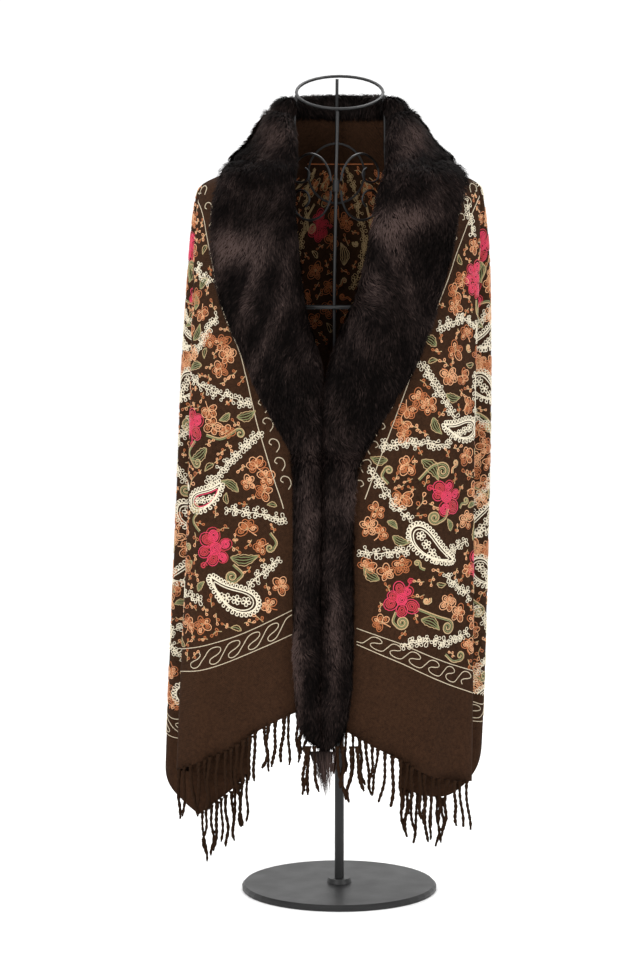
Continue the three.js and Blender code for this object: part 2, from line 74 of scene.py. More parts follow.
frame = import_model()
MM = 0.001
AXIS_X, AXIS_Y = ((low + high) / 2 for low, high in list(zip(*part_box("pole")))[:2])
SIDES = ("left", "right")
PARTS = ("front", "side", "flank")
STRETCHES = (*(f"shawl_{part}_{side}" for part in PARTS for side in SIDES), "shawl_back")
IRON_NODES = [
    entry["node"] for entry in frame["record"]["subparts"] if entry["material_slot"] == "black_iron"
]


# ---- user settings
def colour(name, description, default):
    return bpy.props.FloatVectorProperty(
        name=name, description=description, subtype="COLOR", size=3, min=0, max=1, default=default
    )


def length(name, description, default):
    return bpy.props.FloatProperty(
        name=name, description=description, subtype="DISTANCE", unit="LENGTH", min=0, default=default
    )


class ShawlSettings(bpy.types.PropertyGroup):
    """Sizes and colours of the shawl, its trimmings and its stand."""

    cut_width: length("Cut width", "Width of the rectangle of cloth", 0.50)
    cut_length: length("Cut length", "Length of the rectangle without fringe", 1.86)
    strand_width: length("Fringe strand", "Thickness of one twisted strand", 0.0045)
    pile_length: length("Pile length", "Length of the fur's hairs", 0.0105)
    hair_width: length("Hair width", "Width of one lock of hairs", 0.00092)
    pile_density: bpy.props.IntProperty(
        name="Pile density", description="Locks of hair on a square centimetre", default=55, min=1
    )
    cloth: colour("Cloth", "Brushed wool ground", (0.0232, 0.0104, 0.0051))
    yarn: colour("Fringe", "Twisted strands", (0.0205, 0.0094, 0.0044))
    fur: colour("Fur", "Long pile at its tips", (0.0100, 0.0066, 0.0058))
    iron: colour("Iron", "Black wire", (0.0050, 0.0048, 0.0050))
    floor: colour("Floor", "Plain floor", (0.92, 0.92, 0.92))


THREADS = {
    "cream": (0.72, 0.64, 0.48),
    "sand": (0.50, 0.41, 0.28),
    "crimson": (0.40, 0.003, 0.018),
    "rose": (0.56, 0.009, 0.062),
    "peach": (0.63, 0.300, 0.135),
    "rust": (0.365, 0.098, 0.015),
    "green": (0.150, 0.165, 0.055),
    "tan": (0.40, 0.27, 0.120),
}


# ---- materials
def arithmetic(operation, swapped=False):
    """A method that adds a Math node for a signal and another value."""

    def method(self, other):
        return self.maths(operation, *((other, self) if swapped else (self, other)))

    return method


class Signal:
    """A shader socket that Python arithmetic works on; every sum adds a Math node."""

    __add__, __radd__ = arithmetic("ADD"), arithmetic("ADD", True)
    __rsub__, __sub__ = arithmetic("SUBTRACT", True), arithmetic("SUBTRACT")
    __mul__, __rmul__ = arithmetic("MULTIPLY"), arithmetic("MULTIPLY", True)

    def __init__(self, finish, socket):
        self.finish = finish
        self.socket = socket

    def maths(self, operation, *values):
        return self.finish.node("ShaderNodeMath", {"operation": operation}, *values)

    def sine(self):
        return self.maths("SINE", self)

    def size(self):
        return self.maths("ABSOLUTE", self)

    def kept(self):
        """The value held between 0 and 1."""
        return self.maths("MAXIMUM", self.maths("MINIMUM", self, 1.0), 0.0)


class Finish:
    """A material that is being built around one Principled shader."""

    def __init__(self, name, roughness, **constants):
        self.material = bpy.data.materials.new(name)
        self.material.use_nodes = True
        self.tree = self.material.node_tree
        self.tree.nodes.clear()
        self.shader = self.tree.nodes.new("ShaderNodeBsdfPrincipled")
        output = self.tree.nodes.new("ShaderNodeOutputMaterial")
        self.tree.links.new(self.shader.outputs["BSDF"], output.inputs["Surface"])
        for socket, value in {"Roughness": roughness, **constants}.items():
            self.shader.inputs[socket.replace("_", " ")].default_value = value

    def feed(self, socket, value):
        if isinstance(value, Signal):
            self.tree.links.new(value.socket, socket)
        else:
            socket.default_value = value

    def node(self, kind, settings=None, *values, output=0, **named):
        """Adds a node: its settings first, then the values or links of its sockets."""
        made = self.tree.nodes.new(kind)
        for key, value in (settings or {}).items():
            setattr(made, key, value)
        for socket, value in zip(made.inputs, values):
            self.feed(socket, value)
        for key, value in named.items():
            self.feed(made.inputs[key.replace("_", " ")], value)
        return Signal(self, made.outputs[output])

    def place(self, scale=(1, 1, 1)):
        at = self.node("ShaderNodeTexCoord", output="Object")
        return self.node("ShaderNodeMapping", None, Vector=at, Scale=scale)

    def noise(self, vector, scale, detail, roughness):
        settings = {"Scale": scale, "Detail": detail, "Roughness": roughness}
        return self.node("ShaderNodeTexNoise", None, Vector=vector, **settings)

    def uv(self):
        at = self.node("ShaderNodeTexCoord", output="UV")
        split = self.node("ShaderNodeSeparateXYZ", None, at)
        return [Signal(self, socket) for socket in split.socket.node.outputs[:2]]

    def colour_ramp(self, tone, base, *factors):
        """Colours the surface from a darker to a lighter shade of one colour as the tone rises. In the
        thread, yarn and fur finishes the tone carries painted light and shade.
        """
        mixed = self.node("ShaderNodeMix", {"data_type": "RGBA"}, tone, output=2)
        for socket, factor in zip(mixed.socket.node.inputs[6:8], factors):
            socket.default_value = (*(min(channel * factor, 1.0) for channel in base), 1.0)
        self.feed(self.shader.inputs["Base Color"], mixed)

    def rough(self, value):
        self.feed(self.shader.inputs["Roughness"], value)

    def bump(self, height, distance, strength):
        bump = self.node("ShaderNodeBump", None, Height=height, Distance=distance, Strength=strength)
        self.feed(self.shader.inputs["Normal"], bump)


def wool_finish(base):
    finish = Finish("shawl_wool", 0.92, Specular_IOR_Level=0.06)
    at = finish.place()
    twill = finish.node(
        "ShaderNodeTexWave",
        {"wave_type": "BANDS", "bands_direction": "DIAGONAL"},
        Vector=at, Scale=260.0, Distortion=1.4, Detail=2.0, Detail_Scale=3.0,
    )
    nap = finish.noise(at, 620.0, 3.0, 0.75)
    fleck = finish.noise(at, 240.0, 3.0, 0.7)
    cloud = finish.noise(at, 9.0, 4.0, 0.6)
    tone = (0.45 * cloud + 0.15 * twill + 1.1 * nap + 1.0 * fleck - 0.85).kept()
    finish.colour_ramp(tone, base, 0.38, 1.9)
    finish.bump(0.4 * twill + 0.9 * nap + 0.5 * fleck, 0.0007, 0.7)
    return finish.material


def thread_finish(name, base):
    finish = Finish(f"thread_{name}", 0.5, Sheen_Weight=0.2, Specular_IOR_Level=0.45)
    along, across = finish.uv()
    link = (along * (2 * math.pi / 2.6)).sine().size()
    painted_crown_light = (across * math.pi).sine()
    fleck = finish.noise(finish.place(), 420.0, 2.0, 0.6)
    # Painted light and shade: each chain link is painted lighter on its crown and along the middle of the
    # thread, and darker in the cracks between links and at the thread's edges. The fleck is the thread's
    # own uneven colour.
    tone = (0.25 + 0.45 * link * painted_crown_light + 0.55 * fleck - 0.1).kept()
    finish.colour_ramp(tone, base, 0.52, 1.18)
    finish.bump(link, 0.0004, 0.6)
    return finish.material


def fur_finish(base):
    """Pile painted dark at its roots, as painted shade deep in the pile, and lighter towards its tips by a
    painted highlight. U is the brushing of the pile and the strength of its painted highlight, V runs from
    root to tip.
    """
    finish = Finish("fur_pile", 0.5, Specular_IOR_Level=0.025)
    gloss, height = finish.uv()
    # Painted light and shade: the colour climbs from painted shade at the roots to a painted highlight
    # near the tips, as far as U allows. U also lowers the roughness.
    tone = (height * (0.01 + 1.9 * gloss * gloss + 0.18 * gloss)).kept()
    finish.colour_ramp(tone, base, 0.15, 6.5)
    finish.rough((0.62 - 0.2 * gloss).kept())
    return finish.material


def fur_skin_finish(base):
    finish = Finish("fur_skin", 0.9, Specular_IOR_Level=0.04)
    at = finish.place((1, 1, 0.35))
    locks = finish.noise(at, 260.0, 4.0, 0.7)
    # Painted shade: the skin is coloured well below the pile's own colour, for the shade deep in the pile
    # under the hairs. The locks are its uneven tone.
    finish.colour_ramp(locks, base, 0.10, 0.55)
    finish.bump(locks, 0.003, 0.9)
    return finish.material


def yarn_finish(base):
    finish = Finish("fringe_yarn", 0.9, Specular_IOR_Level=0.06)
    along, around = finish.uv()
    ply = (along * 900.0 + around * (2 * math.pi)).sine().size()
    fuzz = finish.noise(finish.place(), 700.0, 3.0, 0.7)
    # Painted shade in the twist: the ply lines are painted lighter on their ridges and darker in the
    # grooves between them. The fuzz is the yarn's own uneven colour.
    finish.colour_ramp((0.5 * ply + 0.6 * fuzz).kept(), base, 0.55, 1.55)
    finish.bump(ply + fuzz, 0.0003, 0.7)
    return finish.material


def iron_finish(base):
    finish = Finish("black_iron", 0.42, Specular_IOR_Level=0.32, Coat_Weight=0.04)
    grain = finish.noise(finish.place(), 340.0, 4.0, 0.6)
    scuff = finish.noise(finish.place(), 28.0, 3.0, 0.5)
    finish.colour_ramp(grain * scuff, base, 0.7, 2.6)
    finish.rough(0.34 + 0.22 * scuff)
    finish.bump(grain, 0.0002, 0.35)
    return finish.material


def floor_finish(base):
    finish = Finish("pale_floor", 0.9, Specular_IOR_Level=0.2)
    finish.shader.inputs["Base Color"].default_value = (*base, 1.0)
    return finish.material


# ---- pieces
def settings():
    return bpy.context.scene.shawl_settings


def add_object(name, data):
    added = bpy.data.objects.new(name, data)
    bpy.context.scene.collection.objects.link(added)
    return added


def new_piece(mesh, material):
    piece = add_object(mesh.name, mesh)
    mesh.materials.clear()
    mesh.materials.append(material)
    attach(piece, "root")
    return piece


def merged_copy(*nodes):
    """One bmesh of some construction solids, welded back from loose triangles into quads."""
    bm = bmesh.new()
    origin = bm.verts.layers.int.new("origin")
    for number, node in enumerate(nodes):
        start = len(bm.verts)
        bm.from_mesh(frame["nodes"][node].data)
        bm.verts.ensure_lookup_table()
        bmesh.ops.remove_doubles(bm, verts=bm.verts[start:], dist=1e-5)
        bm.verts.ensure_lookup_table()
        for vert in bm.verts[start:]:
            vert[origin] = number
    limits = {"angle_face_threshold": 0.9, "angle_shape_threshold": 1.4}
    bmesh.ops.join_triangles(bm, faces=bm.faces, cmp_seam=False, **limits)
    return bm


def smooth_mesh(bm, name, levels, crease_angle):
    """Subdivides a bmesh, creased where it bends beyond an angle, and returns the finished mesh."""
    crease = bm.edges.layers.float.get("crease_edge") or bm.edges.layers.float.new("crease_edge")
    for edge in bm.edges:
        if len(edge.link_faces) == 2 and edge.calc_face_angle(0.0) > crease_angle:
            edge[crease] = 1.0
    mesh = bpy.data.meshes.new(name)
    bm.to_mesh(mesh)
    bm.free()
    carrier = add_object(name + "_carrier", mesh)
    subdivide = carrier.modifiers.new("Subdivision", "SUBSURF")
    subdivide.levels = subdivide.render_levels = levels
    graph = bpy.context.evaluated_depsgraph_get()
    finished = bpy.data.meshes.new_from_object(carrier.evaluated_get(graph))
    bpy.data.objects.remove(carrier)
    bpy.data.meshes.remove(mesh)
    finished.name = name
    return finished


def columns(*values):
    return np.stack(values, axis=1)


def coordinates(mesh, kind="co"):
    """The places of a mesh's vertices, or with "normal" their normals."""
    flat = np.empty(len(mesh.vertices) * 3, dtype=np.float64)
    mesh.vertices.foreach_get(kind, flat)
    return flat.reshape(-1, 3)


def set_coordinates(mesh, points):
    mesh.vertices.foreach_set("co", points.astype(np.float32).ravel())
    mesh.update()


def surface(*meshes):
    """A tree of some meshes' faces that rays and nearest points can be asked of."""
    corners, faces = [], []
    for mesh in meshes:
        start = len(corners)
        corners += [tuple(point) for point in coordinates(mesh)]
        faces += [tuple(start + v for v in polygon.vertices) for polygon in mesh.polygons]
    return BVHTree.FromPolygons(corners, faces)


def array_mesh(name, points, groups, uv):
    """A smooth mesh from arrays; each group of faces is an array of equal rows."""
    mesh = bpy.data.meshes.new(name)
    loops = np.concatenate([group.ravel() for group in groups])
    sizes = np.concatenate([np.full(len(group), group.shape[1]) for group in groups])
    starts = np.concatenate([[0], np.cumsum(sizes)[:-1]])
    mesh.vertices.add(len(points))
    mesh.vertices.foreach_set("co", points.astype(np.float32).ravel())
    mesh.loops.add(len(loops))
    mesh.loops.foreach_set("vertex_index", loops.astype(np.int32))
    mesh.polygons.add(len(sizes))
    mesh.polygons.foreach_set("loop_start", starts.astype(np.int32))
    mesh.polygons.foreach_set("loop_total", sizes.astype(np.int32))
    mesh.polygons.foreach_set("use_smooth", np.ones(len(sizes), dtype=bool))
    layer = mesh.uv_layers.new(name="UVMap")
    layer.data.foreach_set("uv", uv[loops].astype(np.float32).ravel())
    mesh.update()
    mesh.validate()
    return mesh


class Ripple:
    """Smooth seeded noise: a sum of waves whose wavelength is about a given length."""

    def __init__(self, seed, wavelength, waves=7):
        draw = np.random.default_rng(seed)
        direction = draw.normal(size=(waves, 3))
        direction /= np.linalg.norm(direction, axis=1)[:, None]
        spread = draw.uniform(0.7, 1.4, size=(waves, 1))
        self.wave = direction * spread * 2 * math.pi / wavelength
        self.phase = draw.uniform(0, 2 * math.pi, waves)

    def __call__(self, points):
        return np.sin(np.asarray(points) @ self.wave.T + self.phase).sum(axis=1) / len(self.phase) ** 0.5


# ---- the draped cloth
def point_tree(points):
    """A tree that points near a place can be asked of."""
    tree = KDTree(len(points))
    for number, point in enumerate(points):
        tree.insert(point, number)
    tree.balance()
    return tree


def weld_seams(bm):
    """Joins the stretches into one sheet: the end faces that face each other across a seam go,
    and the two rims they leave are merged."""
    reach = 0.6 * MM
    origin = bm.verts.layers.int["origin"]
    bm.normal_update()
    faces = list(bm.faces)
    centres = [face.calc_center_median() for face in faces]
    tree = point_tree(centres)
    ends = set()
    for face, centre in zip(faces, centres):
        for _, other, _ in tree.find_range(centre, reach):
            facing = faces[other].normal.dot(face.normal) < -0.8
            if facing and faces[other].verts[0][origin] != face.verts[0][origin]:
                ends.add(face)
    bmesh.ops.delete(bm, geom=list(ends), context="FACES")
    rim = [vert for vert in bm.verts if any(len(edge.link_faces) < 2 for edge in vert.link_edges)]
    bmesh.ops.remove_doubles(bm, verts=rim, dist=reach)


# Soft troughs and ridges on the hanging cloth. Across is the place of the crease at its top and at its
# foot: millimetres from the form's axis on the front, degrees round from the front elsewhere.
Crease = namedtuple("Crease", "top foot across_top across_foot width depth")
FRONT_CREASES = (
    Crease(860, 190, -172, -150, 17, -4.0),
    Crease(800, 160, -160, -182, 10, 2.5),
    Crease(620, 240, -96, -112, 26, -3.0),
    Crease(430, 200, -70, -84, 13, 2.2),
    Crease(360, 170, -128, -140, 15, 3.0),
    Crease(850, 180, 168, 146, 15, -4.5),
    Crease(700, 150, 122, 112, 24, 3.0),
    Crease(520, 170, 84, 70, 16, -2.6),
    Crease(400, 150, 60, 42, 12, 2.4),
    Crease(330, 140, 140, 128, 11, -2.5),
)
ROUND_CREASES = (
    Crease(880, 460, 168, 150, 7, -5.0),
    Crease(840, 480, 182, 186, 9, 3.5),
    Crease(880, 460, 200, 222, 7, -6.0),
    Crease(760, 440, 150, 136, 6, 4.0),
    Crease(700, 420, 232, 238, 5, 4.0),
    Crease(820, 300, 106, 104, 4, -3.5),
    Crease(820, 280, 255, 257, 4, -3.5),
)


def crease_depth(creases, across, height):
    """How far each point is pushed out, in metres."""
    total = np.zeros(len(across))
    for crease in creases:
        along = np.clip((crease.top - height) / (crease.top - crease.foot), -0.2, 1.3)
        middle = crease.across_top + (crease.across_foot - crease.across_top) * along
        profile = np.exp(-(((across - middle) / crease.width) ** 2))
        fade = np.clip(along / 0.35, 0, 1) * np.clip((1.35 - along) / 0.25, 0, 1)
        total += crease.depth * MM * profile * fade
    return total


HANG_HEAD, HANG_EASE = 905, 160  # creases begin at this height and are whole this far below it
FRONT_DEPTH, BACK_EASE = 25 * MM, 0.05  # front creases lie before the axis, round ones come in behind it


def crease_cloth(mesh):
    """Presses the creases and a faint unevenness into the cloth, both faces alike."""
    points = coordinates(mesh)
    height = points[:, 2] / MM
    x = points[:, 0] - AXIS_X
    front = points[:, 1] < AXIS_Y - FRONT_DEPTH
    waver = Ripple(3, 0.16)(points) * 0.0014 + Ripple(4, 0.06)(points) * 0.0004
    hang = np.clip((HANG_HEAD - height) / HANG_EASE, 0, 1)
    depth = crease_depth(FRONT_CREASES, x / MM, height)
    points[:, 1] -= np.where(front, (depth + waver) * hang, 0)
    y = points[:, 1] - AXIS_Y
    angle = np.degrees(np.arctan2(x, -y)) % 360
    swell = crease_depth(ROUND_CREASES, angle, height) + waver
    ray = columns(x, y)
    ray /= np.linalg.norm(ray, axis=1)[:, None]
    behind = np.clip(y / BACK_EASE, 0, 1) * hang
    points[:, :2] += ray * swell[:, None] * behind[:, None]
    set_coordinates(mesh, points)


class SHAWL_OT_cloth(bpy.types.Operator):
    """The wool rectangle, one thin sheet draped round the form"""

    bl_idname = "shawl.cloth"
    bl_label = "Shawl Cloth"

    def execute(self, context):
        bm = merged_copy(*STRETCHES)
        weld_seams(bm)
        mesh = smooth_mesh(bm, "shawl_sheet", 2, math.radians(55))
        crease_cloth(mesh)
        for polygon in mesh.polygons:
            polygon.use_smooth = True
        piece = new_piece(mesh, wool_finish(settings().cloth))
        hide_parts(*STRETCHES)
        return {"FINISHED"}


# ---- fur
FUR_NODES = ("fur_collar_left", "fur_collar_right", "fur_collar_back", "fur_band_left", "fur_band_right")

# Places where brushing lays the pile flat and a highlight is painted into its colour for the light it
# catches: x and height of the middle, half-widths along and across the patch, the patch's lean from
# upright, and how bright the painted highlight is.
PaintedSheenSweep = namedtuple("PaintedSheenSweep", "x height along across lean gloss")
PAINTED_SHEEN_SWEEPS = (
    PaintedSheenSweep(-113, 828, 22, 30, 12, 0.75),
    PaintedSheenSweep(-132, 795, 46, 7, 12, 0.30),
    PaintedSheenSweep(-88, 782, 62, 9, 16, 0.42),
    PaintedSheenSweep(-52, 775, 52, 8, 10, 0.36),
    PaintedSheenSweep(-80, 700, 46, 8, 24, 0.40),
    PaintedSheenSweep(-68, 965, 30, 24, -30, 0.45),
    PaintedSheenSweep(-120, 905, 34, 12, -40, 0.22),
    PaintedSheenSweep(100, 955, 36, 16, 35, 0.45),
    PaintedSheenSweep(98, 860, 20, 30, -10, 0.55),
    PaintedSheenSweep(72, 838, 38, 16, -22, 0.55),
    PaintedSheenSweep(54, 776, 44, 14, -24, 0.32),
    PaintedSheenSweep(36, 724, 34, 13, -26, 0.28),
    PaintedSheenSweep(98, 762, 50, 14, -16, 0.26),
    PaintedSheenSweep(134, 880, 34, 10, -6, 0.25),
    PaintedSheenSweep(-24, 500, 90, 9, 0, 0.32),
    PaintedSheenSweep(-38, 310, 100, 8, 0, 0.52),
    PaintedSheenSweep(8, 360, 120, 10, 0, 0.42),
    PaintedSheenSweep(26, 520, 70, 9, 0, 0.32),
)


def brushing_and_painted_sheen(spots):
    """How much brushing the pile has had at each point, from 0 to 1. It lowers the roughness and is the
    strength of the highlight painted into the pile's colour.
    """
    # A faint rippled painted sheen everywhere, and on the front the patches' painted highlights.
    gloss = 0.14 + 0.09 * np.clip(Ripple(71, 0.07)(spots) + 0.6 * Ripple(72, 0.03)(spots), -1, 2)
    front = spots[:, 1] < AXIS_Y
    for painted_sweep in PAINTED_SHEEN_SWEEPS:
        lean = math.radians(painted_sweep.lean)
        x, z = spots[:, 0] / MM - painted_sweep.x, spots[:, 2] / MM - painted_sweep.height
        along = (x * math.sin(lean) + z * math.cos(lean)) / painted_sweep.along
        across = (x * math.cos(lean) - z * math.sin(lean)) / painted_sweep.across
        gloss += painted_sweep.gloss * np.exp(-(along**2) - across**2) * front
    return np.clip(gloss, 0, 1)


def nearest(tree, points):
    """The nearest point of a surface to each point, and its distance."""
    found = [tree.find_nearest(Vector(point)) for point in points]
    return np.array([hit[0] for hit in found]), np.array([hit[3] for hit in found])


def evened(mesh, values, rounds):
    """Evens out values held at the vertices of a mesh along its edges."""
    ends = np.empty(len(mesh.edges) * 2, dtype=np.int32)
    mesh.edges.foreach_get("vertices", ends)
    first, second = ends.reshape(-1, 2).T
    count = np.bincount(ends, minlength=len(mesh.vertices))[:, None]
    for _ in range(rounds):
        total = np.zeros_like(values)
        np.add.at(total, first, values[second])
        np.add.at(total, second, values[first])
        values = 0.5 * values + 0.5 * total / count
    return values


# How far a lapel's outer edge is drawn in: heights in metres, and millimetres at each.
EDGE_INSET = {
    "right": ((0.56, 0.64, 0.69, 0.75, 0.81, 0.86, 0.90, 0.93), (7, 0, 0, 6, 6, 8, 7, 0)),
    "left": ((0.56, 0.64, 0.77, 0.86, 0.90, 0.93), (7, 0, 0, 6, 7, 0)),
}


# Above this height the shift of the skin is evened out along the mesh, in so many rounds.
COLLAR_FOOT, COLLAR_EASE, COLLAR_ROUNDS = 0.885, 0.03, 40
# The slope of each shoulder: its height and how far the fur is drawn in there.
SLOPE = {"right": (0.942, 14 * MM), "left": (0.948, 16 * MM)}
SLOPE_REACH, LOWER_LEFT_REACH = 0.030, 0.045  # how far above and below the slope that fades out
SKIN_SHARE = 0.76  # of the height of the fur's solid above the cloth


def draw_in(mesh, node, cloth):
    """Makes a skin smaller than the reach of its pile: nearer to the cloth and in from its outer border.
    The bands meet at the closure and end together in one rounded tongue."""
    points = coordinates(mesh)
    feet, _ = nearest(cloth, points)
    height = points[:, 2]
    shift = (1 - SKIN_SHARE) * (feet - points)
    above = np.clip((height - COLLAR_FOOT) / COLLAR_EASE, 0, 1)[:, None]
    placed = points + shift * (1 - above) + evened(mesh, shift, COLLAR_ROUNDS) * above
    off_axis = points[:, 0] - AXIS_X
    slope, depth = (np.where(off_axis > 0, *pair) for pair in zip(SLOPE["right"], SLOPE["left"]))
    over_slope = height - slope
    reach = np.where((off_axis < 0) & (over_slope < 0), LOWER_LEFT_REACH, SLOPE_REACH)
    beyond = np.clip((np.abs(off_axis) - 0.05) / 0.05, 0, 1)
    placed[:, 0] -= np.sign(off_axis) * depth * np.exp(-((over_slope / reach) ** 2)) * beyond
    if "back" not in node:
        side = "left" if "left" in node else "right"
        outward = -1 if side == "left" else 1
        across = outward * points[:, 0]
        levels = np.round(height / (6 * MM))
        share_out = np.zeros(len(points))
        for level in np.unique(levels):
            near, here = np.abs(levels - level) <= 1, levels == level
            low, high = across[near].min(), across[near].max()
            share_out[here] = (across[here] - low) / max(high - low, 1 * MM)
        placed[:, 0] -= outward * np.interp(height, *EDGE_INSET[side]) * MM * share_out
        closed = np.clip((0.66 - height) / 0.04, 0, 1)
        placed[:, 0] -= outward * 2.2 * MM * (1 - share_out) ** 3 * closed
    if "band" in node:
        head = np.clip(1 - (height.max() - height) / 0.02, 0, 1)
        placed[:, 2] += 9 * MM * head
        placed[:, 1] += 3 * MM * head
        foot, rounding = height.min() + 8 * MM, 50 * MM
        drop = np.clip((foot + rounding - height) / rounding, 0, 1)
        inner = outward * (outward * placed[:, 0]).min()
        placed[:, 0] = inner + (placed[:, 0] - inner) * np.sqrt(1 - 0.97 * drop**2)
        placed[:, 2] = np.maximum(placed[:, 2], foot)
    set_coordinates(mesh, placed)


def sample_faces(mesh, density, draw):
    """Evenly spread random points on a mesh, with their normals."""
    mesh.calc_loop_triangles()
    corners = np.empty(len(mesh.loop_triangles) * 3, dtype=np.int32)
    mesh.loop_triangles.foreach_get("vertices", corners)
    corners = corners.reshape(-1, 3)
    points = coordinates(mesh)
    a, b, c = (points[corners[:, k]] for k in range(3))
    area = np.linalg.norm(np.cross(b - a, c - a), axis=1) / 2
    chosen = draw.choice(len(area), size=int(area.sum() * density), p=area / area.sum())
    u, v = draw.random(len(chosen)), draw.random(len(chosen))
    over = u + v > 1
    u[over], v[over] = 1 - u[over], 1 - v[over]
    weights = columns(1 - u - v, u, v)[:, :, None]
    spots, normals = (
        (values[corners[chosen]] * weights).sum(axis=1) for values in (points, coordinates(mesh, "normal"))
    )
    return spots, unit(normals)


def unit(vectors):
    return vectors / (np.linalg.norm(vectors, axis=1)[:, None] + 1e-9)


def lay_pile(spots, normals):
    """The direction the hairs lie: down the fur and a little outward, stroked into soft locks."""
    outward = np.sign(spots[:, 0] - AXIS_X)
    lapel = np.clip((spots[:, 2] - 0.52) / 0.12, 0, 1)
    down = columns(0.20 * outward * lapel, np.zeros(len(spots)), -np.ones(len(spots)))
    down[spots[:, 1] > AXIS_Y + 10 * MM] = (0, 0.1, -1)
    for seed, wavelength, strength in ((11, 0.110, 0.34), (12, 0.036, 0.20), (13, 0.012, 0.15)):
        for axis in range(3):
            down[:, axis] += strength * Ripple(seed * 10 + axis, wavelength)(spots)
    return unit(down - (down * normals).sum(axis=1)[:, None] * normals)


def lock_mesh(name, rings, shine, heights):
    """Flat tapered locks: rings hold two points for each step up a lock and one for its tip."""
    count, size = len(shine), len(rings)
    start = (np.arange(count) * size)[:, None]
    quads = [start + np.array([[k, k + 1, k + 3, k + 2]]) for k in range(0, size - 3, 2)]
    tips = start + np.array([[size - 3, size - 2, size - 1]])
    # U holds each lock's painted sheen, V how far up the lock a point lies.
    uv = columns(np.repeat(shine, size), np.tile(heights, count))
    return array_mesh(name, np.stack(rings, axis=1).reshape(-1, 3), [*quads, tips], uv)


def pile_mesh(name, spots, normals, draw):
    """Tapered locks of hair that rise from the skin and lie down along the pile."""
    count = len(spots)
    lie = lay_pile(spots, normals)
    painted_clump_sheen = 0.5 + 0.5 * np.tanh(1.5 * Ripple(81, 0.009)(spots))
    reach = settings().pile_length * draw.uniform(0.75, 1.1, count)[:, None]
    width = settings().hair_width * draw.uniform(0.7, 1.3, count)[:, None] / 2
    jitter = draw.normal(scale=0.10, size=(count, 3))
    rise = unit(normals * 0.62 + lie * 0.80 + jitter)
    lean = unit(normals * 0.06 + lie + jitter)
    side = unit(np.cross(lie, normals) + draw.normal(scale=0.12, size=(count, 3)))
    root = spots - normals * 0.0015
    middle = root + rise * reach * 0.52
    tip = middle + lean * reach * 0.52
    rings = [root - side * width, root + side * width, middle - side * width, middle + side * width, tip]
    # Painted sheen of each lock: the painted patches and ripples, some noise and a clumped variation.
    shine = brushing_and_painted_sheen(spots) + draw.normal(scale=0.10, size=count) + 0.15 * (painted_clump_sheen - 0.5)
    mesh = lock_mesh(name, rings, np.clip(shine, 0, 1), [0.0, 0.0, 0.6, 0.6, 1.0])
    tilt = unit(normals + 0.84 * jitter - 0.10 * lie)
    mesh.normals_split_custom_set_from_vertices(np.repeat(tilt, 5, axis=0).tolist())
    return mesh


def tip_mesh(name, draw):
    """The long loose hairs that hang from the closed foot of the bands and draw together to a point."""
    (_, front, foot), (closure, back, _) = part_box("fur_band_left")
    count, longest = 420, 62 * MM
    spread = draw.normal(size=(count, 2)) * (7 * MM, 2.5 * MM)
    root = np.array([closure, (front + back) / 2, foot + 14 * MM]) + np.insert(spread, 2, 0, axis=1)
    drop = draw.uniform(0.35, 1.0, count) ** 1.3 * 62 * MM
    width = draw.uniform(0.5, 0.9, count) * MM / 2
    sway = draw.normal(scale=1.6, size=(count, 2)) * MM
    rings = []
    for part in (0.0, 0.3, 0.6, 0.85, 1.0):
        middle = root.copy()
        middle[:, :2] -= np.clip(part * drop / longest, 0, 1)[:, None] * spread * 0.85
        middle[:, :2] += sway * part**2
        middle[:, 0] += 6 * MM * part * drop / longest
        middle[:, 2] -= part * drop
        half = np.insert(np.zeros((count, 2)), 0, width * (1.0 - part), axis=1)
        rings += [middle - half, middle + half]
    # A painted sheen for each loose hair, carried in U like the pile's.
    shine = np.clip(draw.normal(0.62, 0.2, count), 0, 1)
    return lock_mesh(name, rings[:-1], shine, [0.2, 0.2, 0.5, 0.5, 0.8, 0.8, 1.0, 1.0, 1.0])


# No hairs grow where the skin faces the cloth or another piece of fur nearer than this.
BARE_UNDER, BARE_BETWEEN = 9 * MM, 4 * MM


class SHAWL_OT_fur(bpy.types.Operator):
    """The fur collar and its two front bands: long pile with painted highlights where brushing lays it
    flat, over a skin painted dark as the shade beneath it
    """

    bl_idname = "shawl.fur"
    bl_label = "Fur Collar and Bands"

    def execute(self, context):
        cloth = surface(bpy.data.objects["shawl_sheet"].data)
        skin_finish = fur_skin_finish(settings().fur)
        pile_finish = fur_finish(settings().fur)
        density = settings().pile_density * 1e4
        for number, node in enumerate(FUR_NODES):
            mesh = smooth_mesh(merged_copy(node), node.replace("fur_", "fur_skin_"), 1, math.radians(60))
            beside = merged_copy(*[other for other in FUR_NODES if other != node])
            others = BVHTree.FromBMesh(beside)
            beside.free()
            draw_in(mesh, node, cloth)
            skin = new_piece(mesh, skin_finish)
            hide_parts(node)
            draw = np.random.default_rng(100 + number)
            spots, normals = sample_faces(mesh, density, draw)

            def facing(tree, share):
                """Whether the nearest point of a tree lies straight out from each spot, and how far."""
                found, far = nearest(tree, spots)
                return ((found - spots) * normals).sum(axis=1) > share * far, far

            under, depth = facing(cloth, 0.6)
            between, gap = facing(others, 0.8)
            kept = ~(under & (depth < BARE_UNDER)) & ~(between & (gap < BARE_BETWEEN))
            pile = pile_mesh(node.replace("fur_", "fur_pile_"), spots[kept], normals[kept], draw)
            new_piece(pile, pile_finish)
        new_piece(tip_mesh("fur_pile_tip", np.random.default_rng(120)), pile_finish)
        return {"FINISHED"}


# ---- embroidery
FOLD_ROUND = 225.0  # beyond this distance round the work is spread evenly to the middle of the back
ANGLE_STEP, HEIGHT_STEP = 1.5, 15.0  # the grid on which the cloth is measured, in degrees and millimetres
STEEPEST = 0.72  # stitches stop where the cloth's normal points up more than this


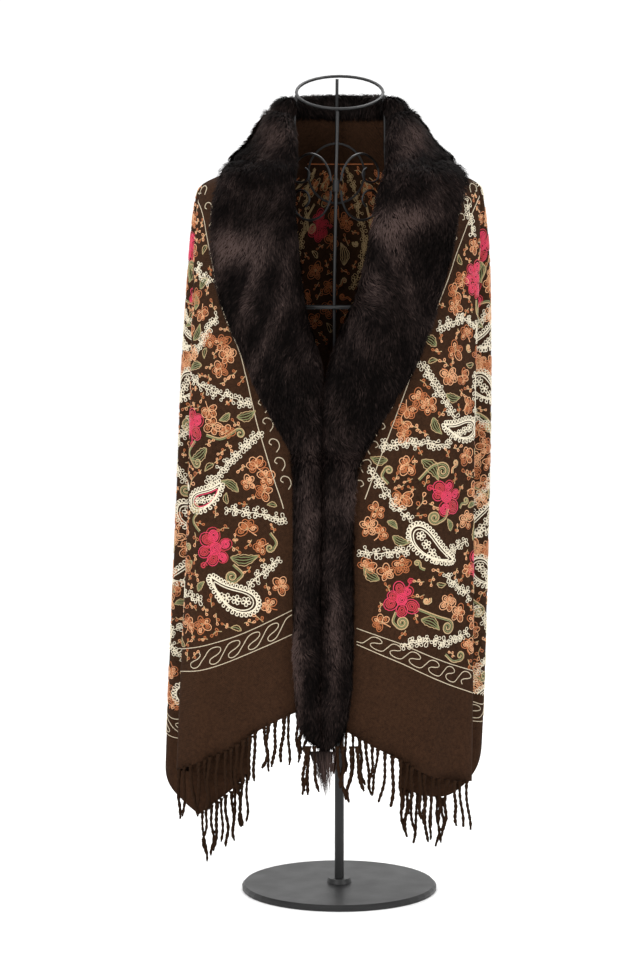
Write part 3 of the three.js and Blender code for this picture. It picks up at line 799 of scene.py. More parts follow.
class Wrap:
    """The outer face of the hanging cloth, read by the distance round it from the middle of the front
    and by the height. Both are in millimetres."""

    def __init__(self, cloth, fur):
        self.cloth = cloth
        self.fur = fur
        self.angles = np.radians(np.arange(0, 181, ANGLE_STEP))
        self.heights = np.arange(985, 95, -HEIGHT_STEP)
        self.rounds = {side: self.measure(side) for side in SIDES}
        self.middle = {side: self.rounds[side][0][20][-1] for side in SIDES}

    def ray(self, tree, side, angle, height, inside=False):
        """What a level ray from outside, or from inside, meets: its distance from the axis and the hit."""
        away = Vector(((-1 if side == "left" else 1) * math.sin(angle), -math.cos(angle), 0))
        axis = Vector((AXIS_X, AXIS_Y, height * MM))
        start, way, reach = (0.03, away, 0.3) if inside else (0.35, -away, 0.31)
        spot, normal, _, _ = tree.ray_cast(axis + away * start, way, reach)
        return (None, None, None) if spot is None else ((spot - axis).length, spot, normal)

    def measure(self, side):
        radius = np.full(len(self.angles), 0.105)
        rows, fronts = [], []
        for height in self.heights:
            for k, angle in enumerate(self.angles):
                far = self.ray(self.cloth, side, angle, height)[0]
                radius[k] = radius[k] if far is None else far
            x, y = radius * np.sin(self.angles), radius * np.cos(self.angles)
            rows.append(run_lengths(columns(x, y)) / MM)
            fronts.append(x / MM)
        return np.array(rows), np.array(fronts)

    def row(self, height):
        place = np.clip((self.heights[0] - height) / HEIGHT_STEP, 0, len(self.heights) - 1.001)
        return int(place), place - int(place)

    def from_front(self, side, x, height, widest=75):
        """The distance round of a point seen at x from the front, up to an angle in degrees."""
        row, _ = self.row(height)
        rounds, fronts = (table[row][: int(widest / ANGLE_STEP)] for table in self.rounds[side])
        return float(np.interp(abs(x - AXIS_X / MM), np.maximum.accumulate(fronts), rounds))

    def point(self, side, around, height, inside=False):
        """The place on the cloth and its normal, or nothing where there is no cloth to see."""
        row, share = self.row(height)
        angle = 0.0
        for rounds, part in zip(self.rounds[side][0][row : row + 2], (1 - share, share)):
            beyond = (rounds[-1] - FOLD_ROUND) / (self.middle[side] - FOLD_ROUND)
            here = around if around < FOLD_ROUND else FOLD_ROUND + (around - FOLD_ROUND) * beyond
            angle += min(np.interp(here, rounds, self.angles), math.radians(179.7)) * part
        far, spot, normal = self.ray(self.cloth, side, angle, height, inside)
        if spot is None:
            return None
        cover = None if inside else self.ray(self.fur, side, angle, height)[0]
        return None if cover is not None and cover > far else (spot, normal)


# The duller thread that shows on the wrong side in place of each bright one. Its darker colour is also
# painted shade for the inside at the back of the neck.
DIM = {"cream": "tan", "rose": "crimson", "peach": "rust", "green": "tan"}
# The threads of a blossom's petals and of their rims, either way round.
FILLS = (("rust", "peach"), ("peach", "rust"))


class Needle:
    """Lays lines of chain stitch on the cloth and keeps them by the colour of their thread."""

    def __init__(self, wrap):
        self.wrap = wrap
        self.runs = {thread: [] for thread in THREADS}
        self.inside = False
        self.taken = {(side, inside): [] for side in SIDES for inside in (False, True)}

    def sew(self, side, strokes):
        for thread, width, line in strokes:
            run = []
            self.taken[side, self.inside].append(np.array(line))
            if self.inside:
                # On the wrong side: a duller thread, partly painted shade, and a finer line.
                thread, width = DIM.get(thread, thread), 0.8 * width
            for around, height in line:
                found = self.wrap.point(side, around, height, self.inside)
                if found is not None and not self.inside and found[1][2] > STEEPEST:
                    found = None
                if found is None or (run and (found[0] - run[-1][0]).length > 7 * MM):
                    self.keep(thread, width, run)
                    run = []
                if found is not None:
                    run.append(found)
            self.keep(thread, width, run)

    def fill(self, side, arounds, heights, allowed, draw):
        """Sews small flowers, leaves, curls and twigs in the ground that the larger motifs leave free."""
        spots = [(around, height) for around in arounds for height in heights]
        draw.shuffle(spots)
        tree = point_tree([(*at, 0) for at in np.concatenate(self.taken[side, self.inside])])
        placed = []
        for spot in spots:
            at = np.array(spot) + draw.uniform(-4, 4, 2)
            gaps = [math.dist(at, middle) - reach for middle, reach in placed]
            gap = min([tree.find((*at, 0))[2], *gaps])
            if gap < 5.0 or not allowed(*at):
                continue
            reach = min(gap, 13.0)
            turn = draw.uniform(0, 360)
            kind = draw.random()
            if gap > 10.5:
                strokes = blossom(reach * 1.6, *FILLS[draw.integers(2)], draw)
            elif kind < 0.3 and gap > 7.5:
                strokes = moved(leaf(reach * 1.7, reach * 0.8, 0, (-reach * 0.85, 0), draw), (0, 0), turn)
            elif kind < 0.6 and gap > 8.0:
                hand = draw.choice([-1, 1])
                bends = [(-reach, -0.4 * reach), (-0.5 * reach, -0.1 * reach), (0, -0.4 * reach)]
                threads = [("tan", "green"), FILLS[0], ("tan", "peach")][draw.integers(3)]
                strokes = tendril(turned(bends, turn), reach * 0.5, 1.5, *threads, hand)
            else:
                strokes = twig(reach, turn, draw)
            self.sew(side, moved(strokes, at))
            placed.append((at, reach))

    def keep(self, thread, width, run):
        if len(run) > 1:
            self.runs[thread].append((width, *(np.array(values) for values in zip(*run))))

    def mesh(self, thread):
        """A low roof along each line: two edges in the cloth and a ridge above it."""
        points, faces, uvs, start = [], [], [], 0
        for number, (width, spots, normals) in enumerate(self.runs[thread]):
            count = len(spots)
            side = unit(np.cross(unit(np.gradient(spots, axis=0)), normals)) * width * MM / 2
            lift = normals * (0.62 + 0.05 * (number % 5)) * MM
            points.append(columns(spots - side, spots + lift, spots + side).reshape(-1, 3))
            ring = start + np.arange(count - 1)[:, None] * 3
            faces += [ring + np.array([[0, 3, 4, 1]]), ring + np.array([[1, 4, 5, 2]])]
            along = np.repeat(run_lengths(spots) / MM, 3)
            uvs.append(columns(along, np.tile([0.0, 0.5, 1.0], count)))
            start += 3 * count
        return array_mesh(f"stitches_{thread}", np.concatenate(points), faces, np.concatenate(uvs))


def run_lengths(line):
    """The distance along a line, flat or in space, at each of its points."""
    steps = np.diff(line, axis=0)
    sizes = np.hypot(*steps.T) if line.shape[1] == 2 else np.linalg.norm(steps, axis=1)
    return np.concatenate([[0], np.cumsum(sizes)])


def curve_through(points, step=2.4):
    """A smooth line through a few points, at an even spacing."""
    points = np.array(points, dtype=float)
    padded = np.vstack([2 * points[0] - points[1], points, 2 * points[-1] - points[-2]])
    t = np.linspace(0, 1, 13)[:-1, None]
    dense = []
    for before, start, end, after in zip(padded, padded[1:], padded[2:], padded[3:]):
        squared = (2 * before - 5 * start + 4 * end - after) * t**2
        cubed = (3 * start - 3 * end + after - before) * t**3
        dense.append(0.5 * (2 * start + (end - before) * t + squared + cubed))
    dense = np.vstack([*dense, points[-1:]])
    lengths = run_lengths(dense)
    places = np.linspace(0, lengths[-1], max(int(lengths[-1] / step), 2) + 1)
    return columns(*(np.interp(places, lengths, dense[:, k]) for k in range(2)))


def heading(way):
    """The direction of a vector, in degrees anticlockwise."""
    return math.degrees(math.atan2(way[1], way[0]))


def turned(line, angle, size=1.0, at=(0, 0), mirror=False):
    """A motif's line brought to its place: degrees anticlockwise, a size and a middle."""
    line = np.array(line, dtype=float) * (-1 if mirror else 1, 1)
    c, s = math.cos(math.radians(angle)), math.sin(math.radians(angle))
    return line @ np.array([[c, s], [-s, c]]) * size + np.array(at)


def moved(strokes, at, angle=0.0, mirror=False):
    return [(thread, width, turned(line, angle, 1, at, mirror)) for thread, width, line in strokes]


def spiral(radius, turns, start=0.0, inner=0.12):
    """A spiral wound inward from its rim."""
    length = 2 * math.pi * turns * radius * (1 + inner) / 2
    t = np.linspace(0, 1, max(int(length / 1.9), 8))
    reach = radius * (1 - (1 - inner) * t)
    angle = math.radians(start) + 2 * math.pi * turns * t
    return columns(reach * np.cos(angle), reach * np.sin(angle))


def ring(radius, steps):
    angle = np.linspace(0, 2 * math.pi, steps + 1)
    return columns(radius * np.cos(angle), radius * np.sin(angle))


def petal_loop(length, width, angle, at=(0, 0), steps=7):
    """A small closed loop, pointed at its foot."""
    t = np.linspace(0, 1, steps + 1)
    line = columns(length * np.sin(math.pi * t), width / 2 * np.sin(2 * math.pi * t))
    return turned(line, angle, 1.0, at)


def garland(path, draw):
    """A wandering stem crowded with small looped flowerets on both sides."""
    stem = curve_through(path, 6.0)
    stem[1:-1] += draw.normal(scale=0.9, size=(len(stem) - 2, 2))
    strokes = [("cream", 1.0, curve_through(stem))]
    side = 1
    for number, (at, way) in enumerate(zip(stem, np.gradient(stem, axis=0))):
        side = -side if draw.random() < 0.85 else side
        offset = [(draw.uniform(-1, 1), side * draw.uniform(2.2, 3.4))]
        middle = np.array(at) + turned(offset, heading(way))[0]
        first = draw.uniform(0, 360)
        petals = draw.integers(2, 5)
        for k in range(petals):
            reach = draw.uniform(4.0, 5.6)
            turn = first + 360 * k / petals + draw.uniform(-15, 15)
            strokes.append(("cream", 0.95, petal_loop(reach, 3.8, turn, middle, 6)))
        if number % 2:
            turn = heading(way) - side * draw.uniform(40, 120)
            strokes.append(("cream", 1.0, petal_loop(draw.uniform(5, 8), 4.2, turn, at, 7)))
    return strokes


def blossom(size, fill, rim, draw):
    """A flower of five rounded petals, no two alike, each a small open spiral inside its rim."""
    strokes = []
    first = draw.uniform(0, 360)
    span = 360 if draw.random() < 0.6 else 265
    if span < 360:
        bends = draw.uniform(-0.1, 0.1) * size, draw.uniform(-0.2, 0.2) * size
        stem = [(0, 0), (0.3 * size, bends[0]), (0.62 * size, bends[1])]
        strokes.append((rim, 1.2, turned(curve_through(stem), first - 50)))
    for k in range(5):
        angle = first + span * k / 5 + draw.uniform(-13, 13)
        radius = size * draw.uniform(0.17, 0.29)
        stretch = (draw.uniform(1.0, 1.35), draw.uniform(0.78, 0.95))
        middle = turned([(size * draw.uniform(0.27, 0.36), 0)], angle)[0]
        inner, outer = [(fill, rim), (fill, fill), (rim, fill)][draw.integers(3)]
        coil = spiral(radius * 0.72, max(radius * 0.72 / 2.2, 1.0), angle) * stretch
        petal = [(inner, 1.45, coil), (outer, 1.15, ring(radius * 1.06, 11) * stretch)]
        strokes += moved(petal, middle, angle)
    return [*strokes, ("tan", 1.4, spiral(size * 0.11, 1.2))]


def rose(size, draw):
    """A full flower of round petals of several sizes in two reds, crowded round a curled heart."""
    strokes = []
    first = draw.uniform(0, 360)
    for k in range(6):
        angle = first + 60 * k + draw.uniform(-16, 16)
        radius = size * draw.uniform(0.12, 0.20)
        middle = turned([(0.13 * size + radius, 0)], angle)[0]
        stretch = (draw.uniform(1.0, 1.15), draw.uniform(0.88, 1.0))
        fill, rim = [("crimson", "rose"), ("rose", "crimson")][draw.integers(2)]
        coil = spiral(radius * 0.80, radius * 0.80 / 2.3, angle) * stretch
        strokes += moved([(fill, 1.7, coil), (rim, 1.2, ring(radius * 1.02, 13) * stretch)], middle, angle)
    bud = turned([(size * 0.52, 0)], first + 30)[0]
    heart = spiral(size * 0.17, size * 0.17 / 2.3, first)
    stalk = curve_through([(0, 0), bud * 0.5 + (1.5, 1.5), bud])
    strokes += [("rose", 1.7, heart), ("crimson", 1.6, spiral(size * 0.09, 1.6) + bud)]
    return [*strokes, ("rose", 1.3, stalk)]


def leaf(length, width, angle, at, draw):
    """A curved, pointed leaf of rows of green stitches inside a pale rim."""
    t = np.linspace(0, 1, 12)
    half = width / 2 * np.sin(math.pi * t**0.8) * (1 + 0.12 * np.sin(9 * math.pi * t))
    bow = 0.13 * length * np.sin(math.pi * t) * draw.choice([-1, 1])
    rows = [("tan", 1.1, -1.0), ("tan", 1.1, 1.0), ("green", 1.2, 0.0)]
    if length > 15:
        rows += [("green", 1.2, -0.55), ("green", 1.2, 0.55)]
    lines = [columns(length * t, bow + share * half) for _, _, share in rows]
    return moved([(thread, thick, line) for (thread, thick, _), line in zip(rows, lines)], at, angle)


def twig(reach, angle, draw):
    """A short stem with a loop on each side and one at its end."""
    stem = curve_through([(-reach, 0), (0, draw.uniform(-0.3, 0.3) * reach), (0.6 * reach, 0)], 2.2)
    strokes = [("tan", 1.1, stem)]
    for share, lean in ((0.35, 55), (0.6, -50), (1.0, draw.uniform(-25, 25))):
        at = stem[int(share * (len(stem) - 1))]
        loop = petal_loop(reach * draw.uniform(0.55, 0.75), reach * 0.40, lean, at, 7)
        strokes.append((("peach", "rust")[draw.integers(2)], 1.2, loop))
    return moved(strokes, (0, 0), angle)


def tendril(path, radius, turns, thread, second, hand=1):
    """A stem that ends in a spiral, with a second line beside it."""
    line = curve_through(path)
    toward = heading(line[-1] - line[-2])
    middle = line[-1] + turned([(0, hand * radius)], toward)[0]

    def coil(size, wound):
        return turned(spiral(radius * size, wound, 0, 0.15) * (1, hand), toward - hand * 90, 1, middle)

    beside = line + square_to(line, (-1, 1)) * 2.0 * hand
    return [
        (thread, 1.7, np.vstack([line, coil(1, turns)])),
        (second, 1.5, np.vstack([beside, coil(0.78, turns * 0.8)])),
    ]


def square_to(line, signs):
    """The unit vectors at right angles to a line."""
    way = np.gradient(line, axis=0)
    return way[:, ::-1] * signs / (np.hypot(*way.T)[:, None] + 1e-9)


def teardrop(length, width):
    """The outline of a paisley, its curled tip at the positive end."""
    t = np.linspace(0, 2 * math.pi, 35)
    x = -length / 2 * np.cos(t)
    y = width / 2 * np.sin(t) * (1 - 0.55 * (x / length + 0.5))
    bend = 0.62 * width * np.clip(x / length + 0.5, 0, 1) ** 3
    return columns(x, y + bend)


def paisley(length, width, draw, heart=None):
    """A cream paisley: a double outline under a rim of loops, flowerets inside."""
    outline = teardrop(length, width)
    strokes = [("cream", 1.8, outline), ("cream", 1.4, outline * (0.86, 0.80))]
    if heart:
        strokes.append((heart, 1.4, outline * (0.74, 0.64)))
    count = int(1.55 * (length + width) / 4.4)
    for pick in np.linspace(0, len(outline) - 1, count, endpoint=False):
        k = int(pick)
        way = outline[k + 1] - outline[k]
        loop = petal_loop(5.4, 3.8, heading(way) + 90, outline[k] + way * (pick - k))
        strokes.append(("cream", 1.4, loop))
    for along in (-0.28, -0.08, 0.12, 0.28):
        at = (along * length, 0.04 * width * (1 + along))
        for turn in np.arange(0, 360, 72) + draw.uniform(0, 70):
            strokes.append(("cream", 1.3, petal_loop(0.17 * width, 0.12 * width, turn, at, 5)))
    return strokes


def hook(size, angle, at):
    """An open C that curls in at its head, for the long borders."""
    bends = [(-0.2, -0.9), (-0.75, -0.35), (-0.7, 0.4), (-0.1, 0.75), (0.35, 0.4), (0.1, 0.05)]
    return [("sand", 1.15, turned(curve_through(bends, 0.18), angle, size, at))]


# One turn of the rolling wave: shares of the pitch along, and of the way from one line to the other.
WAVE = (
    *((0.0, 0.18), (0.28, 0.24), (0.52, 0.52), (0.76, 0.80), (1.0, 0.88), (1.2, 0.82)),
    *((1.25, 0.68), (1.08, 0.58), (0.84, 0.51), (0.68, 0.38), (0.74, 0.24)),
)


def wave_border(lower, upper, turned_over):
    """A pair of lines with one rolling wave between them, given as points from one end to the other."""
    low, high = curve_through(lower, 3.0), curve_through(upper, 3.0)
    length, pitch, depth = np.hypot(*np.diff(low, axis=0).T).sum(), 27.0, 25
    roll = [((turn + u) * pitch, depth * v) for turn in range(int(length / pitch - 0.4)) for u, v in WAVE]
    line = curve_through(roll, 1.9) / (length, depth)
    if turned_over:
        line = 1 - line
    edges = []
    for edge in (low, high):
        share = np.linspace(0, 1, len(edge))
        edges.append(columns(*(np.interp(line[:, 0], share, edge[:, k]) for k in range(2))))
    rolling = edges[0] + (edges[1] - edges[0]) * line[:, 1:]
    return [("sand", 1.1, drawn) for drawn in (low, high, rolling)]


# The front panels' own needlework. Places are millimetres from the floor and, across, from the middle
# of the part, as they are seen from the front.
FRONT = {
    "left": {
        "garlands": [
            [(-178, 800), (-160, 788), (-143, 778)], [(-136, 735), (-150, 716), (-164, 694)],
            [(-176, 660), (-160, 652), (-134, 641), (-96, 629)],
            [(-84, 594), (-108, 571), (-133, 546), (-147, 528)], [(-122, 499), (-88, 493), (-54, 487)],
            [(-62, 438), (-83, 418), (-98, 402)], [(-196, 524), (-178, 522)],
            [(-194, 393), (-176, 389), (-160, 384)],
        ],
        "paisleys": [(-151, 508, 46, 29, 8, False), (-118, 385, 62, 36, -8, True)],
        "roses": [(-176, 602, 50), (-139, 449, 50)],
        "blossoms": [
            (-148, 708, 19), (-131, 703, 20), (-124, 688, 20), (-133, 671, 19), (-147, 620, 19),
            (-142, 601, 21), (-125, 594, 18), (-88, 552, 20), (-76, 539, 19), (-79, 521, 20),
            (-98, 531, 17), (-99, 474, 22), (-82, 452, 17), (-58, 404, 18), (-166, 760, 19),
            (-178, 690, 18), (-182, 470, 17), (-176, 424, 20), (-174, 352, 20),
        ],
        "leaves": [
            (-176, 706, 24, 11, 60), (-156, 676, 22, 10, 200), (-112, 612, 26, 12, 20),
            (-150, 573, 30, 14, 210), (-110, 520, 26, 11, 150), (-120, 438, 36, 14, 5),
            (-168, 432, 24, 11, 210), (-158, 770, 20, 10, 40), (-186, 744, 20, 9, 90),
        ],
        "tendrils": [
            ([(-150, 590), (-132, 586), (-112, 598)], 7, 1.3, -1),
            ([(-158, 470), (-166, 482), (-160, 492)], 8, 1.6, 1),
            ([(-116, 430), (-104, 418), (-112, 408)], 9, 1.7, -1),
            ([(-165, 582), (-172, 566), (-166, 550)], 7, 1.4, 1),
            ([(-70, 470), (-62, 458), (-66, 448)], 6, 1.3, -1),
        ],
    },
    "right": {
        "garlands": [
            [(178, 880), (186, 858), (190, 838)], [(136, 722), (160, 732), (184, 726), (206, 708)],
            [(114, 680), (130, 655), (146, 630), (158, 612)], [(190, 662), (194, 634), (204, 606)],
            [(66, 577), (96, 581), (128, 579), (152, 580)], [(52, 545), (76, 515), (100, 486)],
            [(40, 448), (66, 446), (98, 447)], [(150, 446), (172, 456)],
            [(146, 414), (164, 400), (178, 386)], [(94, 331), (122, 334), (150, 333), (174, 340)],
            [(186, 486), (198, 484)], [(184, 380), (196, 378)],
        ],
        "paisleys": [(168, 592, 48, 30, 20, True), (124, 450, 64, 34, -58, False)],
        "roses": [(148, 514, 50), (92, 387, 48), (190, 784, 46), (190, 424, 44)],
        "blossoms": [
            (166, 782, 20), (158, 766, 20), (158, 748, 19), (158, 694, 22), (150, 664, 21),
            (168, 662, 19), (112, 635, 20), (124, 627, 20), (98, 622, 20), (92, 606, 20), (94, 590, 17),
            (98, 554, 22), (92, 514, 24), (60, 498, 20), (50, 478, 20), (64, 470, 18), (48, 428, 20),
            (92, 430, 20), (150, 381, 22), (182, 520, 18), (176, 420, 17),
        ],
        "leaves": [
            (116, 560, 34, 15, -50), (74, 560, 22, 11, 170), (80, 466, 24, 11, -20),
            (64, 412, 26, 12, 140), (116, 362, 28, 13, -30), (146, 640, 24, 11, -10),
            (134, 700, 22, 12, 150), (182, 456, 26, 12, 80), (130, 612, 24, 11, -60),
        ],
        "tendrils": [
            ([(112, 536), (128, 552), (140, 556)], 11, 1.9, -1),
            ([(150, 498), (146, 486), (136, 480)], 9, 2.0, -1),
            ([(186, 756), (190, 746), (196, 742)], 9, 1.9, 1),
            ([(84, 372), (80, 360), (86, 352)], 9, 2.0, 1),
            ([(112, 376), (136, 366), (152, 360)], 10, 1.8, -1),
            ([(146, 316), (156, 306), (166, 306)], 7, 1.4, 1),
            ([(74, 530), (66, 540), (70, 550)], 6, 1.4, -1),
        ],
    },
}

SIDE_FOLD = (178, 500)  # where the front panel folds back: across and height
CELLS, LATTICE_HEAD = 3, 908  # diamonds from the fold to the middle of the back, and their upper end
HOOK_SIZE, HOOK_GAP, HOOK_OFFSET = 10.5, 25.0, 11.5

# The long border beside the fur and the short border above the hem, in the same places.
FUR_BORDER = {
    "left": [(-161, 890), (-156, 868), (-147, 824), (-129, 744), (-107, 688), (-85, 596), (-54, 500)],
    "right": [(189, 892), (185, 876), (172, 846), (146, 776), (114, 694), (79, 600), (46, 512)],
}
HEM_BORDER = {
    "left": (
        [(-184, 291), (-150, 298), (-100, 318), (-44, 344)],
        [(-184, 319), (-150, 328), (-100, 346), (-44, 374)],
    ),
    "right": (
        [(36, 332), (90, 308), (140, 284), (182, 264)],
        [(36, 352), (90, 332), (140, 310), (182, 292)],
    ),
}


def spray(draw, mirror):
    """A rose between an arc of small flowers, leaves and scrolls, for the side and the back."""
    strokes = list(rose(46, draw))
    for at, size in (((34, 10), 20), ((44, -8), 20), ((38, -28), 19), ((-30, 26), 20), ((-14, 36), 19)):
        strokes += moved(blossom(size, "rust" if size == 20 else "peach", "peach", draw), at)
    strokes += leaf(30, 14, 200, (-20, -4), draw)
    strokes += leaf(26, 12, -60, (12, -20), draw)
    strokes += tendril([(-8, -22), (-18, -34), (-30, -34)], 9, 1.8, "tan", "green", -1)
    strokes += tendril([(18, 18), (24, 32), (18, 42)], 8, 1.6, "tan", "green", 1)
    return moved(strokes, (0, 0), 0, mirror)


def sew_front(needle, side):
    wrap, work = needle.wrap, FRONT[side]
    draw = np.random.default_rng(7 if side == "left" else 8)
    hand = -1 if side == "left" else 1

    def place(x, height):
        return wrap.from_front(side, x, height), height

    def laid(strokes, x, height, angle=0.0, mirror=False):
        """On the left the distance round grows to the left, so the motif is turned over."""
        strokes = moved(strokes, (0, 0), angle, mirror)
        needle.sew(side, moved(strokes, place(x, height), 0, hand < 0))

    for path in work["garlands"]:
        needle.sew(side, garland([place(*at) for at in path], draw))
    for path, radius, turns, curl in work["tendrils"]:
        needle.sew(side, tendril([place(*at) for at in path], radius, turns, "tan", "green", curl * hand))
    for x, height, size, width, angle in work["leaves"]:
        laid(leaf(size, width, angle, (0, 0), draw), x, height)
    for x, height, size in work["blossoms"]:
        laid(blossom(size, *(*FILLS, FILLS[0])[draw.integers(3)], draw), x, height)
    for x, height, size in work["roses"]:
        laid(rose(size, draw), x, height)
    for x, height, size, width, angle, mirror in work["paisleys"]:
        laid(paisley(size, width, draw, "rose" if x < -140 else None), x, height, angle, mirror)

    border = [(wrap.from_front(side, x, height, 90), height) for x, height in FUR_BORDER[side]]
    line = curve_through(border, 3.0)
    needle.sew(side, [("sand", 1.2, line)])
    lengths = run_lengths(line)
    for at in np.arange(16, lengths[-1] - 8, HOOK_GAP):
        k = int(np.searchsorted(lengths, at))
        toward = heading(line[min(k + 1, len(line) - 1)] - line[k - 1])
        needle.sew(side, hook(HOOK_SIZE, toward + 90, line[k] + turned([(0, -HOOK_OFFSET)], toward)[0]))
    foot, head = ([place(*at) for at in edge] for edge in HEM_BORDER[side])
    needle.sew(side, wave_border(foot, head, side == "left"))
    top, fold = np.array(sorted(head)), place(hand * SIDE_FOLD[0], SIDE_FOLD[1])[0]

    def ground(around, height):
        """Whether a spot lies between the fur's border, the hem's border and the fold."""
        inner = np.interp(height, line[::-1, 1], line[::-1, 0])
        return inner + 5 < around < fold + 8 and height > np.interp(around, *top.T) + 7

    needle.fill(side, np.arange(50, fold + 8, 8.0), np.arange(290, 880, 8.0), ground, draw)


def hem_at(wrap, side, around, highest=700.0):
    """The height of the lower edge of the cloth at a distance round it."""
    heights = np.arange(110, highest, 6.0)
    return next((height for height in heights if wrap.point(side, around, height) is not None), highest)


def sew_round(needle, side):
    """The side and the back: diagonal garlands, with a spray or a paisley in each space, down to the
    long border that follows the free edge."""
    wrap, middle = needle.wrap, needle.wrap.middle[side]
    draw = np.random.default_rng(21 if side == "left" else 22)
    fold = wrap.from_front(side, (-1 if side == "left" else 1) * SIDE_FOLD[0] + 6, SIDE_FOLD[1]) + 24
    edge = []
    for around in np.arange(fold + 6, middle + 0.1, (middle - fold - 6) / 24):
        plain = 42 + 92 * max(0.0, 1 - (around - fold) / 290) ** 0.7
        edge.append((around, hem_at(wrap, side, around) + plain))
    edge = np.array(edge)
    edge[1:-1, 1] = (edge[:-2, 1] + 2 * edge[1:-1, 1] + edge[2:, 1]) / 4
    line = curve_through(edge, 3.0)
    marks = np.linspace(0, len(line) - 1, len(line) // 6).astype(int)
    lower = line + 25 * square_to(line, (1, -1))
    needle.sew(side, wave_border(lower[marks], line[marks], side == "left"))

    def above(around, height, margin=12):
        return height > np.interp(around, *edge.T) + margin

    def put(strokes, at=(0, 0), angle=0.0, mirror=False):
        """Sews the part of each line that lies above the border."""
        kept = []
        for thread, width, points in moved(strokes, at, angle, mirror):
            clear = above(*points.T, margin=9)
            ends = np.flatnonzero(np.diff(np.concatenate([[0], clear.astype(int), [0]])))
            kept += [(thread, width, points[i:j]) for i, j in ends.reshape(-1, 2) if j - i > 2]
        needle.sew(side, kept)

    cell = (middle - fold) / CELLS
    third = cell * 0.29
    for column in range(CELLS):
        start = fold + column * cell
        room = 14 if column == CELLS - 1 else 0
        for row, high in enumerate(np.arange(LATTICE_HEAD, 150, -cell)):
            low, centre = high - cell, high - cell / 2
            up = 1 if (row + column) % 2 else -1
            first, bend, last = (low, 0.45, high) if up > 0 else (high, 0.55, low)
            path = [(start, first), (start + cell * 0.5, low + cell * bend), (start + cell, last)]
            put(garland(path, draw))
            x, z = start + third, centre + up * third * 0.75
            put(spray(draw, column % 2 == 1), (x, z), up * 12)
            far, deep = start + cell - third - room, centre - up * third * 0.75
            put(paisley(56, 34, draw), (far, deep), up * 50, row % 2 == 1)
            put(blossom(21, *FILLS[0], draw), (far + 4, deep - up * 34))
            put(blossom(20, *FILLS[1], draw), (far + 4 - 20, deep - up * 34 + 4))
            curl = tendril([(-26, 6), (-6, 10), (12, -2)], 8, 1.7, "tan", "green", up)
            put(curl, (far - 8, deep + up * 36))
            put(leaf(28, 13, up * 40, (0, 0), draw), (x - 44, z - 24))
    needle.fill(side, np.arange(fold - 36, middle - 4, 9.0), np.arange(130, 905, 9.0), above, draw)


def sew_inside(needle, side):
    """What shows of the wrong side at the back of the neck: the same motifs in finer lines, below a
    border that runs along the neck edge."""
    draw = np.random.default_rng(31 if side == "left" else 32)
    middle = needle.wrap.middle[side]

    def places(*path):
        return [(middle + x, height) for x, height in path]

    def flowers(*path):
        return [line for at in places(*path) for line in moved(blossom(19, "rust", "tan", draw), at)]

    def curl(path, hand):
        return tendril(path, 8, 1.7, "tan", "tan", hand)

    strokes = [("peach", 1.8, curve_through(places((-110, 930), (2, 930)), 3.0))]
    if side == "left":
        strokes += moved(rose(40, draw), *places((-36, 852)))
        strokes += flowers((-12, 905), (-34, 908), (-56, 900), (-24, 886))
        strokes += garland(places((-78, 790), (-62, 850), (-74, 922)), draw)
        strokes += curl(places((-50, 880), (-60, 862), (-56, 846)), 1)
    else:
        strokes += garland(places((-22, 770), (-42, 830), (-26, 922)), draw)
        strokes += garland(places((-60, 764), (-52, 800), (-42, 830)), draw)
        strokes += moved(leaf(30, 14, 80, (0, 0), draw), *places((-8, 800)))
        strokes += flowers((-58, 900), (-70, 880), (-60, 858), (-6, 900))
        strokes += curl(places((-50, 880), (-62, 830), (-68, 812)), -1)
    needle.inside = True
    needle.sew(side, strokes)
    around, heights = np.arange(middle - 104, middle, 8.0), np.arange(700, 922, 8.0)
    needle.fill(side, around, heights, lambda around, height: height < 922, draw)
    needle.inside = False


class SHAWL_OT_embroidery(bpy.types.Operator):
    """Chain-stitched flowers, paisleys, garlands and borders, one piece for each colour of thread"""

    bl_idname = "shawl.embroidery"
    bl_label = "Embroidery"

    def execute(self, context):
        skins = [piece.data for piece in bpy.data.objects if piece.name.startswith("fur_skin_")]
        needle = Needle(Wrap(surface(bpy.data.objects["shawl_sheet"].data), surface(*skins)))
        for side in SIDES:
            sew_front(needle, side)
            sew_round(needle, side)
            sew_inside(needle, side)
        for thread, base in THREADS.items():
            new_piece(needle.mesh(thread), thread_finish(thread, base))
        return {"FINISHED"}


# ---- fringe
FRINGES = ("fringe_front_left", "fringe_front_right", "fringe_under_left", "fringe_under_right")
STRAND_RINGS, STRAND_SIDES = 26, 8
UNDER_SPACING, FRONT_SPACING = 7.6 * MM, 9.6 * MM


def hem_line(node):
    """The upper edge of a fringe's solid, as points in order from left to right."""
    points = coordinates(frame["nodes"][node].data)
    groups = []
    for point in points[np.argsort(points[:, 0])]:
        if groups and np.linalg.norm(groups[-1][0][:2] - point[:2]) < 5 * MM:
            groups[-1].append(point)
        else:
            groups.append([point])
    stacks = [np.array(group) for group in groups]
    return np.array([stack[stack[:, 2] > stack[:, 2].max() - 3 * MM].mean(axis=0) for stack in stacks])


def along_line(line, spacing):
    """Points at an even spacing along a polyline."""
    distance = run_lengths(line)
    places = np.arange(spacing * 0.4, distance[-1], spacing)
    return columns(*(np.interp(places, distance, line[:, k]) for k in range(3)))


